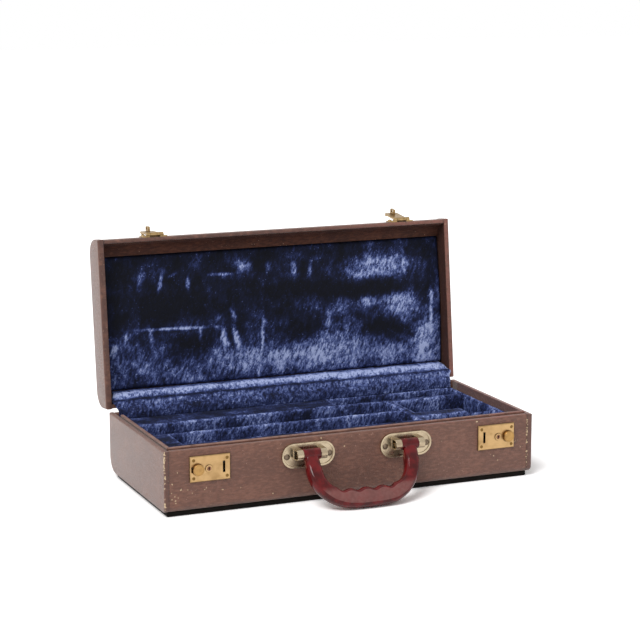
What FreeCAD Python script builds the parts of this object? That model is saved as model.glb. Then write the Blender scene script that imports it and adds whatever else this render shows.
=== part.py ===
import FreeCAD, Part
import math
import os

import Sketcher

V = FreeCAD.Vector

# every length in millimetres and every angle in degrees
SIZES = [
    # case outside
    ("case_width", 370.0),
    ("case_depth", 162.0),
    ("tub_height", 57.0),
    ("lid_height", 30.0),
    ("bend_radius", 16.0),
    ("foot_radius", 6.0),
    ("open_angle", 96.2),
    ("hardware_offset", 2.5),
    # walls, covering and wrapped ends
    ("skin", 0.6),
    ("tub_board", 4.2),
    ("lid_board", 3.4),
    ("wrap_width", 4.6),
    ("wrap_skin", 0.5),
    ("rim_gap", 0.1),
    # base board under the tub
    ("foot_rise", 4.5),
    ("base_inset_ends", 3.5),
    ("base_inset_front", 3.5),
    ("base_inset_rear", 12.0),
    ("base_round", 1.5),
    # locating lip inside the tub's rim
    ("lip_thickness", 2.8),
    ("lip_rise", 2.0),
    ("lip_depth", 12.0),
    ("lip_short", 26.0),
    ("lip_round", 0.9),
    # plush linings of the tub
    ("cloth_gap", 0.3),
    ("lining_floor_thick", 3.2),
    ("lining_drop", 5.0),
    ("lining_round", 1.5),
    ("lining_rear_clear", 8.4),
    ("lining_floor_clear", 17.0),
    ("lining_right_wide", 85.1),
    ("lining_rear_deep", 30.6),
    ("front_well_end", 27.1),
    ("front_well_wall", 8.0),
    ("front_well_near", 38.0),
    ("rear_well_end", 12.1),
    ("rear_well_wall", 6.0),
    ("long_well_wall", 4.0),
    ("ridge_half", 4.0),
    ("long_well_floor", 34.0),
    ("slim_well_long", 132.0),
    ("well_end", 5.1),
    ("slim_well_wall", 5.0),
    ("slim_well_rim", 4.6),
    ("slim_well_floor", 36.0),
    ("right_well_wall", 6.0),
    ("short_well_wall", 9.1),
    ("short_well_far", 32.0),
    ("short_well_floor", 34.0),
    ("cone_well_near", 10.0),
    ("cone_well_wall", 8.0),
    ("cone_well_floor", 24.0),
    ("flare_well_long", 26.5),
    ("flare_well_end", 4.6),
    ("flare_well_near", 28.0),
    ("flare_well_floor", 12.0),
    # linings of the lid
    ("cove_radius", 12.0),
    ("cove_lip", 0.8),
    ("cove_start", 2.5),
    ("side_lining", 0.4),
    ("pad_drop", 14.5),
    ("pad_crown", 3.0),
    ("pad_rear", 15.0),
    ("pad_side", 0.4),
    # cloth over the hinge line
    ("cloth_end_gap", 8.0),
    ("cloth_low", 7.0),
    ("cloth_front", 7.5),
    ("cloth_inner", 5.1),
    ("cloth_over_rim", 0.3),
    ("cloth_fall", 0.1),
    ("cloth_shelf", 7.7),
    ("cloth_end", 19.0),
    ("cloth_top", 15.6),
    ("cloth_brow", 1.6),
    ("cloth_fold", 4.0),
    ("cloth_fold_height", 4.2),
    ("cloth_crease", 1.0),
    ("cloth_crease_height", 9.6),
    ("cloth_roll", 6.6),
    ("cloth_roll_height", 11.2),
    ("cloth_roll_top", 9.5),
    # hinges
    ("pin_offset", 2.7),
    ("hinge_inset", 73.0),
    ("hinge_width", 32.0),
    ("pin_radius", 1.0),
    ("knuckle_radius", 2.2),
    ("knuckle_gap", 0.3),
    ("running_gap", 0.05),
    ("leaf_thick", 1.0),
    ("leaf_drop", 3.2),
    ("leaf_tall", 10.0),
    ("hinge_screw_reach", 10.0),
    ("hinge_screw_head", 1.9),
    ("hinge_screw_rise", 0.8),
    ("hinge_screw_shank", 0.9),
    ("hinge_screw_length", 4.6),
    # locks
    ("lock_inset", 40.7),
    ("plate_wide", 38.5),
    ("plate_tall", 24.0),
    ("plate_mid", 38.4),
    ("plate_rise", 2.0),
    ("plate_bevel", 0.8),
    ("lock_screw_across", 15.9),
    ("lock_screw_up", 8.3),
    ("lock_screw_head", 1.5),
    ("lock_screw_rise", 0.15),
    ("lock_screw_shank", 0.85),
    ("lock_screw_length", 5.4),
    ("housing_half", 19.0),
    ("housing_half_tall", 7.0),
    ("housing_depth", 3.9),
    ("housing_wall", 0.5),
    ("slot_in", 13.0),
    ("slot_mid", 38.7),
    ("slot_wide", 2.3),
    ("slot_tall", 10.6),
    ("knob_out", 12.0),
    ("knob_radius", 6.25),
    ("knob_rise", 3.0),
    ("knob_dome", 13.0),
    ("knob_gap", 0.1),
    ("knob_travel", 3.5),
    ("stem_radius", 2.5),
    ("stem_gap", 0.1),
    ("bolt_mid", 38.2),
    ("bolt_half", 2.0),
    ("bolt_near", 0.1),
    ("bolt_thick", 1.8),
    ("bolt_past", 2.0),
    ("bolt_tail", 2.5),
    ("tab_in", 1.8),
    ("tab_thick", 1.0),
    ("tab_low", 32.6),
    ("spring_radius", 1.05),
    ("spring_wire", 0.22),
    ("spring_pitch", 2.4),
    ("spring_behind", 1.7),
    ("spring_height", 33.7),
    ("tumbler_out", 1.5),
    ("tumbler_mid", 38.3),
    ("tumbler_radius", 2.0),
    ("tumbler_back", 0.1),
    ("ring_radius", 3.25),
    ("ring_rise", 0.9),
    ("key_slot_wide", 0.9),
    ("key_slot_drop", 1.5),
    ("key_slot_deep", 2.2),
    # hasps
    ("hasp_base_wide", 25.0),
    ("hasp_base_thick", 1.2),
    ("hasp_base_far", 13.4),
    ("hasp_base_near", 1.2),
    ("hasp_base_round", 1.5),
    ("hasp_pin_out", 2.7),
    ("hasp_pin_down", 2.4),
    ("hasp_pin_radius", 0.8),
    ("hasp_knuckle", 1.9),
    ("hasp_leaf_knuckle", 4.8),
    ("hasp_base_knuckle", 8.6),
    ("hasp_notch", 0.4),
    ("hasp_rivet_across", 9.6),
    ("hasp_rivet_down", 9.5),
    ("hasp_rivet_head", 2.4),
    ("hasp_rivet_rise", 1.5),
    ("hasp_rivet_shank", 0.8),
    ("hasp_rivet_length", 4.6),
    ("hasp_leaf_inner", 0.5),
    ("hasp_leaf_outer", 0.9),
    ("hasp_leaf_half", 7.0),
    ("hasp_leaf_neck", 3.2),
    ("hasp_leaf_long", 26.0),
    ("hasp_leaf_round", 2.5),
    ("hasp_curl_out", 1.2),
    ("hasp_curl_down", 26.4),
    ("hasp_curl_radius", 1.7),
    ("hasp_curl_half", 5.0),
    ("hasp_fold_left", 176.0),
    ("hasp_fold_right", 168.0),
    ("staple_half", 1.0),
    ("staple_half_tall", 4.0),
    ("staple_deep", 5.1),
    ("staple_round", 1.0),
    ("staple_clear", 0.3),
    # handle brackets
    ("bracket_reach", 49.2),
    ("bracket_half", 26.0),
    ("bracket_half_tall", 11.5),
    ("bracket_mid", 41.0),
    ("bracket_plate", 1.5),
    ("bracket_rim", 0.9),
    ("bracket_rim_wide", 1.8),
    ("bracket_round", 11.4),
    ("pivot_out", 8.0),
    ("pivot_height", 43.0),
    ("lug_radius", 4.9),
    ("lug_round", 4.8),
    ("lug_wall", 1.0),
    ("lug_web", 1.5),
    ("lug_inner", 8.6),
    ("lug_outer", 14.6),
    ("lug_pin_end", 12.6),
    ("lug_pin_radius", 2.5),
    ("handle_rivet_across", 21.0),
    ("handle_rivet_mid", 40.5),
    ("handle_rivet_head", 2.9),
    ("handle_rivet_rise", 1.2),
    ("handle_rivet_shank", 1.8),
    ("handle_rivet_length", 5.8),
    # handle
    ("handle_tilt", 36.6),
    ("barrel_radius", 4.75),
    ("barrel_half", 8.5),
    ("grip_half_thick", 6.5),
    ("arm_top", 3.0),
    ("arm_taper", 20.0),
    ("grip_drop", 56.4),
    ("grip_shoulder", 26.0),
    ("grip_knee", 48.6),
    ("grip_inner_drop", 37.6),
    ("left_outer_top", 56.3),
    ("left_outer_shoulder", 57.3),
    ("left_knee", 42.5),
    ("left_foot", 24.5),
    ("left_inner_top", 42.9),
    ("left_inner_foot", 43.8),
    ("right_outer_top", 55.6),
    ("right_outer_shoulder", 52.0),
    ("right_knee", 37.5),
    ("right_foot", 20.0),
    ("right_inner_top", 42.4),
    ("right_inner_foot", 38.0),
    ("grip_bend", 30.0),
    ("grip_base_bend", 38.0),
    ("grip_inner_bend", 16.0),
    ("grip_round", 4.9),
    ("scallop_radius", 13.0),
    ("scallop_deep", 1.6),
    ("scallop_pitch", 14.5),
    ("scallop_middle", 2.9),
]

# places that follow from the sizes, each one before those it is made of
PLACES = [
    ("slim_well_left", "({slim_well_right} - {slim_well_long})"),
    ("slim_well_right", "({lining_half} - {well_end})"),
    ("slim_well_near", "({lining_step} + {slim_well_wall})"),
    ("slim_well_far", "({lining_rear_limit} - {slim_well_rim})"),
    ("flare_well_left", "({flare_well_right} - {flare_well_long})"),
    ("flare_well_right", "({lining_half} - {flare_well_end})"),
    ("cone_well_far", "({lining_step} - {cone_well_wall})"),
    ("short_well_near", "({lining_front} - {short_well_wall})"),
    ("right_well_left", "({lining_split} + {right_well_wall})"),
    ("right_well_right", "({lining_half} - {well_end})"),
    ("front_well_left", "({lining_half} - {front_well_end})"),
    ("front_well_right", "({lining_split} - {front_well_wall})"),
    ("rear_well_left", "({lining_half} - {rear_well_end})"),
    ("rear_well_right", "({lining_split} - {rear_well_wall})"),
    ("long_well_far", "({lining_step} - {long_well_wall})"),
    ("lining_split", "({lining_half} - {lining_right_wide})"),
    ("lining_step", "({lining_rear_limit} - {lining_rear_deep})"),
    ("lining_rear_limit", "({case_depth} / 2 - {lining_rear_clear})"),
    ("lining_floor_rear", "({case_depth} / 2 - {lining_floor_clear})"),
    ("lining_half", "({case_width} / 2 - {skin} - {tub_board} - {lip_thickness} - {cloth_gap})"),
    ("lining_front", "({case_depth} / 2 - {skin} - {tub_board} - {lip_thickness} - {cloth_gap})"),
    ("lip_reach", "({case_depth} - {lip_short})"),
    ("cloth_half_length", "({case_width} / 2 - {cloth_end_gap})"),
    ("hinge_reach", "({case_width} / 2 - {hinge_inset})"),
    ("lock_reach", "({case_width} / 2 - {lock_inset})"),
]

doc = FreeCAD.newDocument("ClarinetCase")
sheet = doc.addObject("Spreadsheet::Sheet", "Sizes")
for row, (name, size) in enumerate(SIZES, 1):
    sheet.set("A%d" % row, name)
    sheet.set("B%d" % row, str(size))
    sheet.setAlias("B%d" % row, name)
doc.recompute()

PLANES = {"up": "XY_Plane", "front": "XZ_Plane", "side": "YZ_Plane"}
TURNS = {
    "up": FreeCAD.Rotation(),
    "down": FreeCAD.Rotation(V(1, 0, 0), 180),
    "right": FreeCAD.Rotation(V(0, 1, 0), 90),
    "forward": FreeCAD.Rotation(V(1, 0, 0), 90),
    "backward": FreeCAD.Rotation(V(1, 0, 0), -90),
}
# shares of a solid's bounding box, where an edge's middle lies
EDGE_SHARES = {
    "front low": (0.5, 0, 0),
    "rear low": (0.5, 1, 0),
    "front top": (0.5, 0, 1),
    "rear top": (0.5, 1, 1),
    "left low": (0, 0.5, 0),
    "right low": (1, 0.5, 0),
    "left top": (0, 0.5, 1),
    "right top": (1, 0.5, 1),
    "front left": (0, 0, 0.5),
    "front right": (1, 0, 0.5),
    "rear left": (0, 1, 0.5),
    "rear right": (1, 1, 0.5),
}
PIECES = []


def bind(thing, prop, rule):
    for name, place in PLACES:
        rule = rule.replace("{%s}" % name, place)
    thing.setExpression(prop, rule.replace("{", "Sizes.").replace("}", ""))


def sketch_on(body, plane, shift):
    sketch = body.newObject("Sketcher::SketchObject", body.Name + "_sketch")
    role = PLANES[plane]
    origin_plane = [part for part in body.Origin.OriginFeatures if part.Role == role][0]
    sketch.AttachmentSupport = [(origin_plane, "")]
    sketch.MapMode = "FlatFace"
    for axis, rule in zip("xyz", shift):
        bind(sketch, "AttachmentOffset.Base." + axis, rule)
    return sketch


def datum(sketch, label, rule, constraint):
    index = sketch.addConstraint(constraint)
    sketch.renameConstraint(index, label)
    bind(sketch, "Constraints." + label, rule)


def rectangle(body, plane, shift, wide, tall):
    sketch = sketch_on(body, plane, shift)
    corners = [V(0, 0, 0), V(1, 0, 0), V(1, 1, 0), V(0, 1, 0)]
    lines = [Part.LineSegment(corners[i], corners[(i + 1) % 4]) for i in range(4)]
    sketch.addGeometry(lines)
    join = Sketcher.Constraint
    sketch.addConstraint([join("Coincident", i, 2, (i + 1) % 4, 1) for i in range(4)])
    sketch.addConstraint([join("Horizontal", 0), join("Vertical", 1), join("Horizontal", 2), join("Vertical", 3)])
    sketch.addConstraint(join("Coincident", 0, 1, -1, 1))
    datum(sketch, "wide", wide, join("DistanceX", 0, 1, 0, 2, 1.0))
    datum(sketch, "tall", tall, join("DistanceY", 1, 1, 1, 2, 1.0))
    return sketch


def outline(body, plane, lift, points):
    sketch = sketch_on(body, plane, ("0", "0", lift))
    count = len(points)
    turn = 2 * math.pi / count
    spots = [V(math.cos(i * turn), math.sin(i * turn), 0) for i in range(count)]
    lines = [Part.LineSegment(spots[i], spots[(i + 1) % count]) for i in range(count)]
    sketch.addGeometry(lines)
    join = Sketcher.Constraint
    sketch.addConstraint([join("Coincident", i, 2, (i + 1) % count, 1) for i in range(count)])
    for i, (across, up) in enumerate(points):
        datum(sketch, "x%d" % i, across, join("DistanceX", -1, 1, i, 1, spots[i].x))
        datum(sketch, "y%d" % i, up, join("DistanceY", -1, 1, i, 1, spots[i].y))
    return sketch


def extrude(body, sketch, length):
    pad = body.newObject("PartDesign::Pad", body.Name + "_pad")
    pad.Profile = sketch
    bind(pad, "Length", length)
    body.Tip = pad
    return body


def nearest_edges(feature, shares):
    box = feature.Shape.BoundBox
    names = []
    for across, deep, high in shares:
        spot = V(box.XMin + across * box.XLength, box.YMin + deep * box.YLength, box.ZMin + high * box.ZLength)
        gaps = [edge.CenterOfMass.distanceToPoint(spot) for edge in feature.Shape.Edges]
        names.append("Edge%d" % (gaps.index(min(gaps)) + 1))
    return names


def soften(body, rule, places, kind="Fillet"):
    doc.recompute()
    last = body.Tip
    feature = body.newObject("PartDesign::" + kind, body.Name + "_" + kind.lower())
    feature.Base = (last, nearest_edges(last, [EDGE_SHARES.get(place, place) for place in places]))
    bind(feature, "Radius" if kind == "Fillet" else "Size", rule)
    body.Tip = feature
    return body


def soften_top(body, rule):
    doc.recompute()
    last = body.Tip
    heights = [face.CenterOfMass.z for face in last.Shape.Faces]
    feature = body.newObject("PartDesign::Fillet", body.Name + "_top")
    feature.Base = (last, ["Face%d" % (heights.index(max(heights)) + 1)])
    bind(feature, "Radius", rule)
    body.Tip = feature
    return body


def block(name, low, size, rounds=()):
    body = doc.addObject("PartDesign::Body", name)
    extrude(body, rectangle(body, "up", low, size[0], size[1]), size[2])
    for rule, places in rounds:
        soften(body, rule, places)
    return body


def hollow(body, low, size):
    sketch = rectangle(body, "up", low, size[0], size[1])
    pocket = body.newObject("PartDesign::Pocket", body.Name + "_pocket")
    pocket.Profile = sketch
    pocket.Reversed = True
    pocket.Type = "Length"
    bind(pocket, "Length", size[2])
    body.Tip = pocket
    return body


def rod(name, facing, low, radius, length):
    solid = doc.addObject("Part::Cylinder", name)
    solid.Placement = FreeCAD.Placement(V(0, 0, 0), TURNS[facing])
    for axis, rule in zip("xyz", low):
        bind(solid, "Placement.Base." + axis, rule)
    bind(solid, "Radius", radius)
    bind(solid, "Height", length)
    return solid


def dome(name, facing, low, radius, rise, ball):
    drum = rod(name + "_drum", "up", ("0", "0", "0"), radius, rise)
    sphere = doc.addObject("Part::Sphere", name + "_ball")
    bind(sphere, "Radius", ball)
    bind(sphere, "Placement.Base.z", "(%s) - (%s)" % (rise, ball))
    solid = doc.addObject("Part::Common", name)
    solid.Base = drum
    solid.Tool = sphere
    solid.Placement = FreeCAD.Placement(V(0, 0, 0), TURNS[facing])
    for axis, rule in zip("xyz", low):
        bind(solid, "Placement.Base." + axis, rule)
    return solid


def join_all(name, solids):
    fused = doc.addObject("Part::MultiFuse", name)
    fused.Shapes = solids
    fused.Refine = True
    return fused


def cut(name, base, tools):
    tool = tools[0]
    if len(tools) > 1:
        tool = doc.addObject("Part::MultiFuse", name + "_tools")
        tool.Shapes = tools
    result = doc.addObject("Part::Cut", name)
    result.Base = base
    result.Tool = tool
    result.Refine = True
    return result


def group(name, solids):
    result = doc.addObject("Part::Compound", name)
    result.Links = solids
    return result


def fasteners(name, facing, spots, head, rise, shank, length):
    made = []
    for index, low in enumerate(spots):
        label = "%s_%d" % (name, index)
        ball = "(({0})^2 + ({1})^2) / (2 * ({1}))".format(head, rise)
        cap = dome(label + "_cap", "up", ("0", "0", "0"), head, rise, ball)
        stalk = rod(label + "_stalk", "down", ("0", "0", "0"), shank, length)
        solid = join_all(label, [cap, stalk])
        solid.Placement = FreeCAD.Placement(V(0, 0, 0), TURNS[facing])
        for axis, rule in zip("xyz", low):
            bind(solid, "Placement.Base." + axis, rule)
        made.append(solid)
    return made


# a span between two distances from the hardware's middle line, on one side of it
def across(side, near, far):
    start = "{hardware_offset} - (%s)" % far if side == "left" else "{hardware_offset} + (%s)" % near
    return start, "(%s) - (%s)" % (far, near)


def point(side, reach):
    return "{hardware_offset} %s (%s)" % ("-" if side == "left" else "+", reach)


# a span between two distances from the case's own middle
def beside(side, near, far):
    return "-(%s)" % far if side == "left" else "(%s)" % near, "(%s) - (%s)" % (far, near)


HINGE_Y = "{case_depth} / 2 + {pin_offset}"
HINGE_Z = "{foot_rise} + {tub_height}"
LID_TURN = "180 - {open_angle}"


def settle(thing, label, frame, side=None):
    thing.Label = label
    turn = None
    place = {"z": "{foot_rise}"}
    if frame == "lid":
        turn = LID_TURN
        place = {"y": HINGE_Y, "z": HINGE_Z}
    if frame == "hasp":
        turn = "%s - {hasp_fold_%s}" % (LID_TURN, side)
        out = "({pin_offset} + {case_depth} + {hasp_pin_out})"
        place = {
            "x": point(side, "{lock_reach} - {slot_in}"),
            "y": "%s + %s * cos(%s) + {hasp_pin_down} * sin(%s)" % (HINGE_Y, out, LID_TURN, LID_TURN),
            "z": "%s + %s * sin(%s) - {hasp_pin_down} * cos(%s)" % (HINGE_Z, out, LID_TURN, LID_TURN),
        }
    if frame == "handle":
        turn = "-{handle_tilt}"
        place = {
            "x": "{hardware_offset}",
            "y": "-({case_depth} / 2 + {pivot_out})",
            "z": "{foot_rise} + {pivot_height}",
        }
    if turn:
        thing.Placement = FreeCAD.Placement(V(0, 0, 0), FreeCAD.Rotation(V(1, 0, 0), 1))
        bind(thing, "Placement.Rotation.Angle", turn)
    for axis, rule in place.items():
        bind(thing, "Placement.Base." + axis, rule)
    PIECES.append((label, thing))


# filled forms of the tub and the lid, set in from the outside by one inset
def tub_fill(name, inset, top, low, long):
    size = (long, "{case_depth} - 2 * (%s)" % inset, "%s - (%s)" % (top, inset))
    start = (low, "-({case_depth} / 2 - (%s))" % inset, inset)
    rounds = [("{bend_radius} - (%s)" % inset, ["rear low"]), ("{foot_radius} - (%s)" % inset, ["front low"])]
    return block(name, start, size, rounds)


def lid_fill(name, inset, top, low, long):
    size = (long, "{case_depth} - 2 * (%s)" % inset, "{lid_height} - (%s) - (%s)" % (inset, top))
    start = (low, "{pin_offset} + (%s)" % inset, "-({lid_height} - (%s))" % inset)
    return block(name, start, size, [("{bend_radius} - (%s)" % inset, ["rear low", "front low"])])


SIDES = ("left", "right")
TUB_WALL = "({skin} + {tub_board})"
LID_WALL = "({skin} + {lid_board})"
TUB_FACE = "{case_depth} / 2"
LID_FRONT = "({pin_offset} + {case_depth})"
SLOT_REACH = "({lock_reach} - {slot_in})"
INNER_START = "-({case_width} / 2 - {skin})"
INNER_LONG = "{case_width} - 2 * {skin}"

# fasteners, made first because what they pass is cut by them
tub_hinge_spots = []
lid_hinge_spots = []
lock_spots = []
handle_spots = []
hasp_spots = []
for side in SIDES:
    for sign in ("-", "+"):
        hinge_x = point(side, "{hinge_reach} %s {hinge_screw_reach}" % sign)
        leaf_mid = "({leaf_drop} + {leaf_tall} / 2)"
        tub_hinge_spots.append((hinge_x, TUB_FACE + " + {leaf_thick}", "{tub_height} - " + leaf_mid))
        lid_hinge_spots.append((hinge_x, "{pin_offset} - {leaf_thick}", "-" + leaf_mid))
        handle_x = point(side, "{bracket_reach} %s {handle_rivet_across}" % sign)
        handle_spots.append((handle_x, "-(%s + {bracket_plate})" % TUB_FACE, "{handle_rivet_mid}"))
        hasp_x = point(side, "%s %s {hasp_rivet_across}" % (SLOT_REACH, sign))
        hasp_spots.append((hasp_x, "%s + {hasp_base_thick}" % LID_FRONT, "-{hasp_rivet_down}"))
        for lift in ("-", "+"):
            lock_x = point(side, "{lock_reach} %s {lock_screw_across}" % sign)
            lock_z = "{plate_mid} %s {lock_screw_up}" % lift
            lock_spots.append((lock_x, "-(%s + {plate_rise})" % TUB_FACE, lock_z))
hinge_rules = ("{hinge_screw_head}", "{hinge_screw_rise}", "{hinge_screw_shank}", "{hinge_screw_length}")
tub_hinge_screws = fasteners("tub_hinge_screw", "backward", tub_hinge_spots, *hinge_rules)
lid_hinge_screws = fasteners("lid_hinge_screw", "forward", lid_hinge_spots, *hinge_rules)
lock_rules = ("{lock_screw_head}", "{lock_screw_rise}", "{lock_screw_shank}", "{lock_screw_length}")
lock_screws = fasteners("lock_screw", "forward", lock_spots, *lock_rules)
handle_rules = ("{handle_rivet_head}", "{handle_rivet_rise}", "{handle_rivet_shank}", "{handle_rivet_length}")
handle_rivets = fasteners("handle_rivet", "forward", handle_spots, *handle_rules)
hasp_rules = ("{hasp_rivet_head}", "{hasp_rivet_rise}", "{hasp_rivet_shank}", "{hasp_rivet_length}")
hasp_rivets = fasteners("hasp_rivet", "backward", hasp_spots, *hasp_rules)
settle(group("hinge_tub_screws", tub_hinge_screws), "hinge_tub_screws", "tub")
settle(group("hinge_lid_screws", lid_hinge_screws), "hinge_lid_screws", "lid")
settle(group("lock_screws_all", lock_screws), "lock_screws", "tub")
settle(group("handle_rivets_all", handle_rivets), "handle_rivets", "tub")
settle(group("hasp_rivets_all", hasp_rivets), "hasp_rivets", "lid")


# the hollow that each lock housing takes out of the front wall
def housing_space(name, side):
    start, wide = across(side, "{lock_reach} - {housing_half}", "{lock_reach} + {housing_half}")
    low = (start, "-(%s)" % TUB_FACE, "{plate_mid} - {housing_half_tall}")
    return block(name, low, (wide, "{housing_depth}", "2 * {housing_half_tall}"))


housings = [housing_space("housing_space_" + side, side) for side in SIDES]

# bent board of the tub with its covering
passing = housings + tub_hinge_screws + lock_screws + handle_rivets
outer = tub_fill("tub_shell_outer", "{skin}", "{tub_height} - {skin}", INNER_START, INNER_LONG)
inner = tub_fill("tub_shell_inner", TUB_WALL, "{tub_height} + {skin}", "-{case_width} / 2", "{case_width}")
settle(cut("tub_shell", outer, [inner] + passing), "tub_shell", "tub")
outer = tub_fill("tub_covering_outer", "0", "{tub_height}", INNER_START, INNER_LONG)
inner = tub_fill("tub_covering_inner", "{skin}", "{tub_height} - {skin}", "-{case_width} / 2", "{case_width}")
mouth = tub_fill("tub_covering_mouth", TUB_WALL, "{tub_height} + {skin}", "-{case_width} / 2", "{case_width}")
settle(cut("tub_covering", outer, [inner, mouth] + passing), "tub_covering", "tub")

for side in SIDES:
    start, long = beside(side, "{case_width} / 2 - " + TUB_WALL, "{case_width} / 2 - {skin}")
    board = tub_fill("tub_end_" + side, TUB_WALL, "{tub_height} - {skin}", start, long)
    settle(board, "tub_end_" + side, "tub")
    flap_size = (long, "{case_depth} - 2 * " + TUB_WALL, "{skin}")
    flap_low = (start, "-(%s - %s)" % (TUB_FACE, TUB_WALL), "{tub_height} - {skin}")
    flap = block("tub_end_flap_" + side, flap_low, flap_size)
    start, long = beside(side, "{case_width} / 2 - {skin}", "{case_width} / 2")
    plate = tub_fill("tub_end_skin_" + side, "0", "{tub_height}", start, long)
    start, long = beside(side, "{case_width} / 2 - {wrap_width}", "{case_width} / 2")
    front_low = (start, "-(%s + {wrap_skin})" % TUB_FACE, "{foot_radius}")
    front = block("tub_wrap_front_" + side, front_low, (long, "{wrap_skin}", "{tub_height} - {foot_radius}"))
    rear_low = (start, TUB_FACE, "{bend_radius}")
    rear = block("tub_wrap_rear_" + side, rear_low, (long, "{wrap_skin}", "{tub_height} - {bend_radius}"))
    wrapped = join_all("tub_end_covering_" + side, [plate, flap, front, rear])
    settle(wrapped, "tub_end_covering_" + side, "tub")

# base board that the case stands on
base_wide = "{case_width} - 2 * {base_inset_ends}"
base_deep = "{case_depth} - {base_inset_front} - {base_inset_rear}"
base_low = ("-{case_width} / 2 + {base_inset_ends}", "-(%s) + {base_inset_front}" % TUB_FACE, "-{foot_rise}")
base_rounds = [("{base_round}", ["front low", "rear low", "left low", "right low"])]
base = block("base_board", base_low, (base_wide, base_deep, "{foot_rise}"), base_rounds)
settle(base, "base_board", "tub")

# locating lip along the front and both ends
lip_side = "({case_width} / 2 - %s)" % TUB_WALL
lip_front = "(%s - %s)" % (TUB_FACE, TUB_WALL)
lip_tall = "{lip_depth} + {lip_rise}"
lip_low = ("-" + lip_side, "-" + lip_front, "{tub_height} - {lip_depth}")
lip = block("tub_lip", lip_low, ("2 * " + lip_side, "{lip_reach}", lip_tall))
inner_low = ("-(%s - {lip_thickness})" % lip_side, "-(%s - {lip_thickness})" % lip_front, lip_low[2])
hollow(lip, inner_low, ("2 * (%s - {lip_thickness})" % lip_side, "{lip_reach}", lip_tall))
soften(lip, "{lip_round}", ["front top", "left top", "right top"])
settle(lip, "tub_lip", "tub")

# plush linings of the tub
lining_side = "{lining_half}"
lining_near = "{lining_front}"
floor_low = "%s + {cloth_gap}" % TUB_WALL
bed = "(%s + {lining_floor_thick})" % floor_low
lining_top = "({tub_height} - {lining_drop})"
floor_size = ("2 * " + lining_side, lining_near + " + {lining_floor_rear}", "{lining_floor_thick}")
floor_pad = block("lining_floor", ("-" + lining_side, "-" + lining_near, floor_low), floor_size)
settle(floor_pad, "lining_floor", "tub")


def well(body, left, right, near, far, floor):
    low = (left, near, floor)
    hollow(body, low, ("%s - (%s)" % (right, left), "%s - (%s)" % (far, near), "{tub_height} - (%s)" % floor))


left_size = (lining_side + " + {lining_split}", lining_near + " + {lining_step}", "%s - %s" % (lining_top, bed))
left_block = block("lining_left", ("-" + lining_side, "-" + lining_near, bed), left_size)
front_far = "-{ridge_half}"
well(left_block, "-{front_well_left}", "{front_well_right}", "-{front_well_near}", front_far, "{long_well_floor}")
well(left_block, "-{rear_well_left}", "{rear_well_right}", "{ridge_half}", "{long_well_far}", "{long_well_floor}")
settle(soften_top(left_block, "{lining_round}"), "lining_left", "tub")
rear_size = ("2 * " + lining_side, "{lining_rear_limit} - {lining_step}", left_size[2])
rear_block = block("lining_rear", ("-" + lining_side, "{lining_step}", bed), rear_size)
slim = ("{slim_well_left}", "{slim_well_right}", "{slim_well_near}", "{slim_well_far}", "{slim_well_floor}")
well(rear_block, *slim)
settle(soften_top(rear_block, "{lining_round}"), "lining_rear", "tub")
right_size = (lining_side + " - {lining_split}", left_size[1], left_size[2])
right_block = block("lining_right", ("{lining_split}", "-" + lining_near, bed), right_size)
short = ("{right_well_left}", "{right_well_right}", "-{short_well_near}", "-{short_well_far}", "{short_well_floor}")
well(right_block, *short)
cone = ("{right_well_left}", "{flare_well_right}", "-{cone_well_near}", "{cone_well_far}", "{cone_well_floor}")
well(right_block, *cone)
flare = ("{flare_well_left}", "{flare_well_right}", "-{flare_well_near}", "{long_well_far}", "{flare_well_floor}")
well(right_block, *flare)
settle(soften_top(right_block, "{lining_round}"), "lining_right", "tub")

# bent board of the lid with its covering
passing = lid_hinge_screws + hasp_rivets
lid_top = "{rim_gap} + {skin}"
outer = lid_fill("lid_shell_outer", "{skin}", lid_top, INNER_START, INNER_LONG)
inner = lid_fill("lid_shell_inner", LID_WALL, "-{skin}", "-{case_width} / 2", "{case_width}")
settle(cut("lid_shell", outer, [inner] + passing), "lid_shell", "lid")
outer = lid_fill("lid_covering_outer", "0", "{rim_gap}", INNER_START, INNER_LONG)
inner = lid_fill("lid_covering_inner", "{skin}", lid_top, "-{case_width} / 2", "{case_width}")
mouth = lid_fill("lid_covering_mouth", LID_WALL, "-{skin}", "-{case_width} / 2", "{case_width}")
settle(cut("lid_covering", outer, [inner, mouth] + passing), "lid_covering", "lid")

linings = []
for side in SIDES:
    start, long = beside(side, "{case_width} / 2 - " + LID_WALL, "{case_width} / 2 - {skin}")
    board = lid_fill("lid_end_" + side, LID_WALL, lid_top, start, long)
    settle(board, "lid_end_" + side, "lid")
    flap_low = (start, "{pin_offset} + " + LID_WALL, "-(%s)" % lid_top)
    flap = block("lid_end_flap_" + side, flap_low, (long, "{case_depth} - 2 * " + LID_WALL, "{skin}"))
    start, long = beside(side, "{case_width} / 2 - {skin}", "{case_width} / 2")
    plate = lid_fill("lid_end_skin_" + side, "0", "{rim_gap}", start, long)
    start, long = beside(side, "{case_width} / 2 - {wrap_width}", "{case_width} / 2")
    wrap_size = (long, "{wrap_skin}", "{lid_height} - {bend_radius} - {rim_gap}")
    wrap_z = "-({lid_height} - {bend_radius})"
    front = block("lid_wrap_front_" + side, (start, LID_FRONT, wrap_z), wrap_size)
    rear = block("lid_wrap_rear_" + side, (start, "{pin_offset} - {wrap_skin}", wrap_z), wrap_size)
    wrapped = join_all("lid_end_covering_" + side, [plate, flap, front, rear])
    settle(wrapped, "lid_end_covering_" + side, "lid")
    far = "{case_width} / 2 - " + LID_WALL
    start, long = beside(side, far + " - {side_lining}", far)
    linings.append(lid_fill("side_lining_" + side, LID_WALL, lid_top, start, long))
settle(group("lid_side_linings", linings), "lid_side_linings", "lid")

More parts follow.
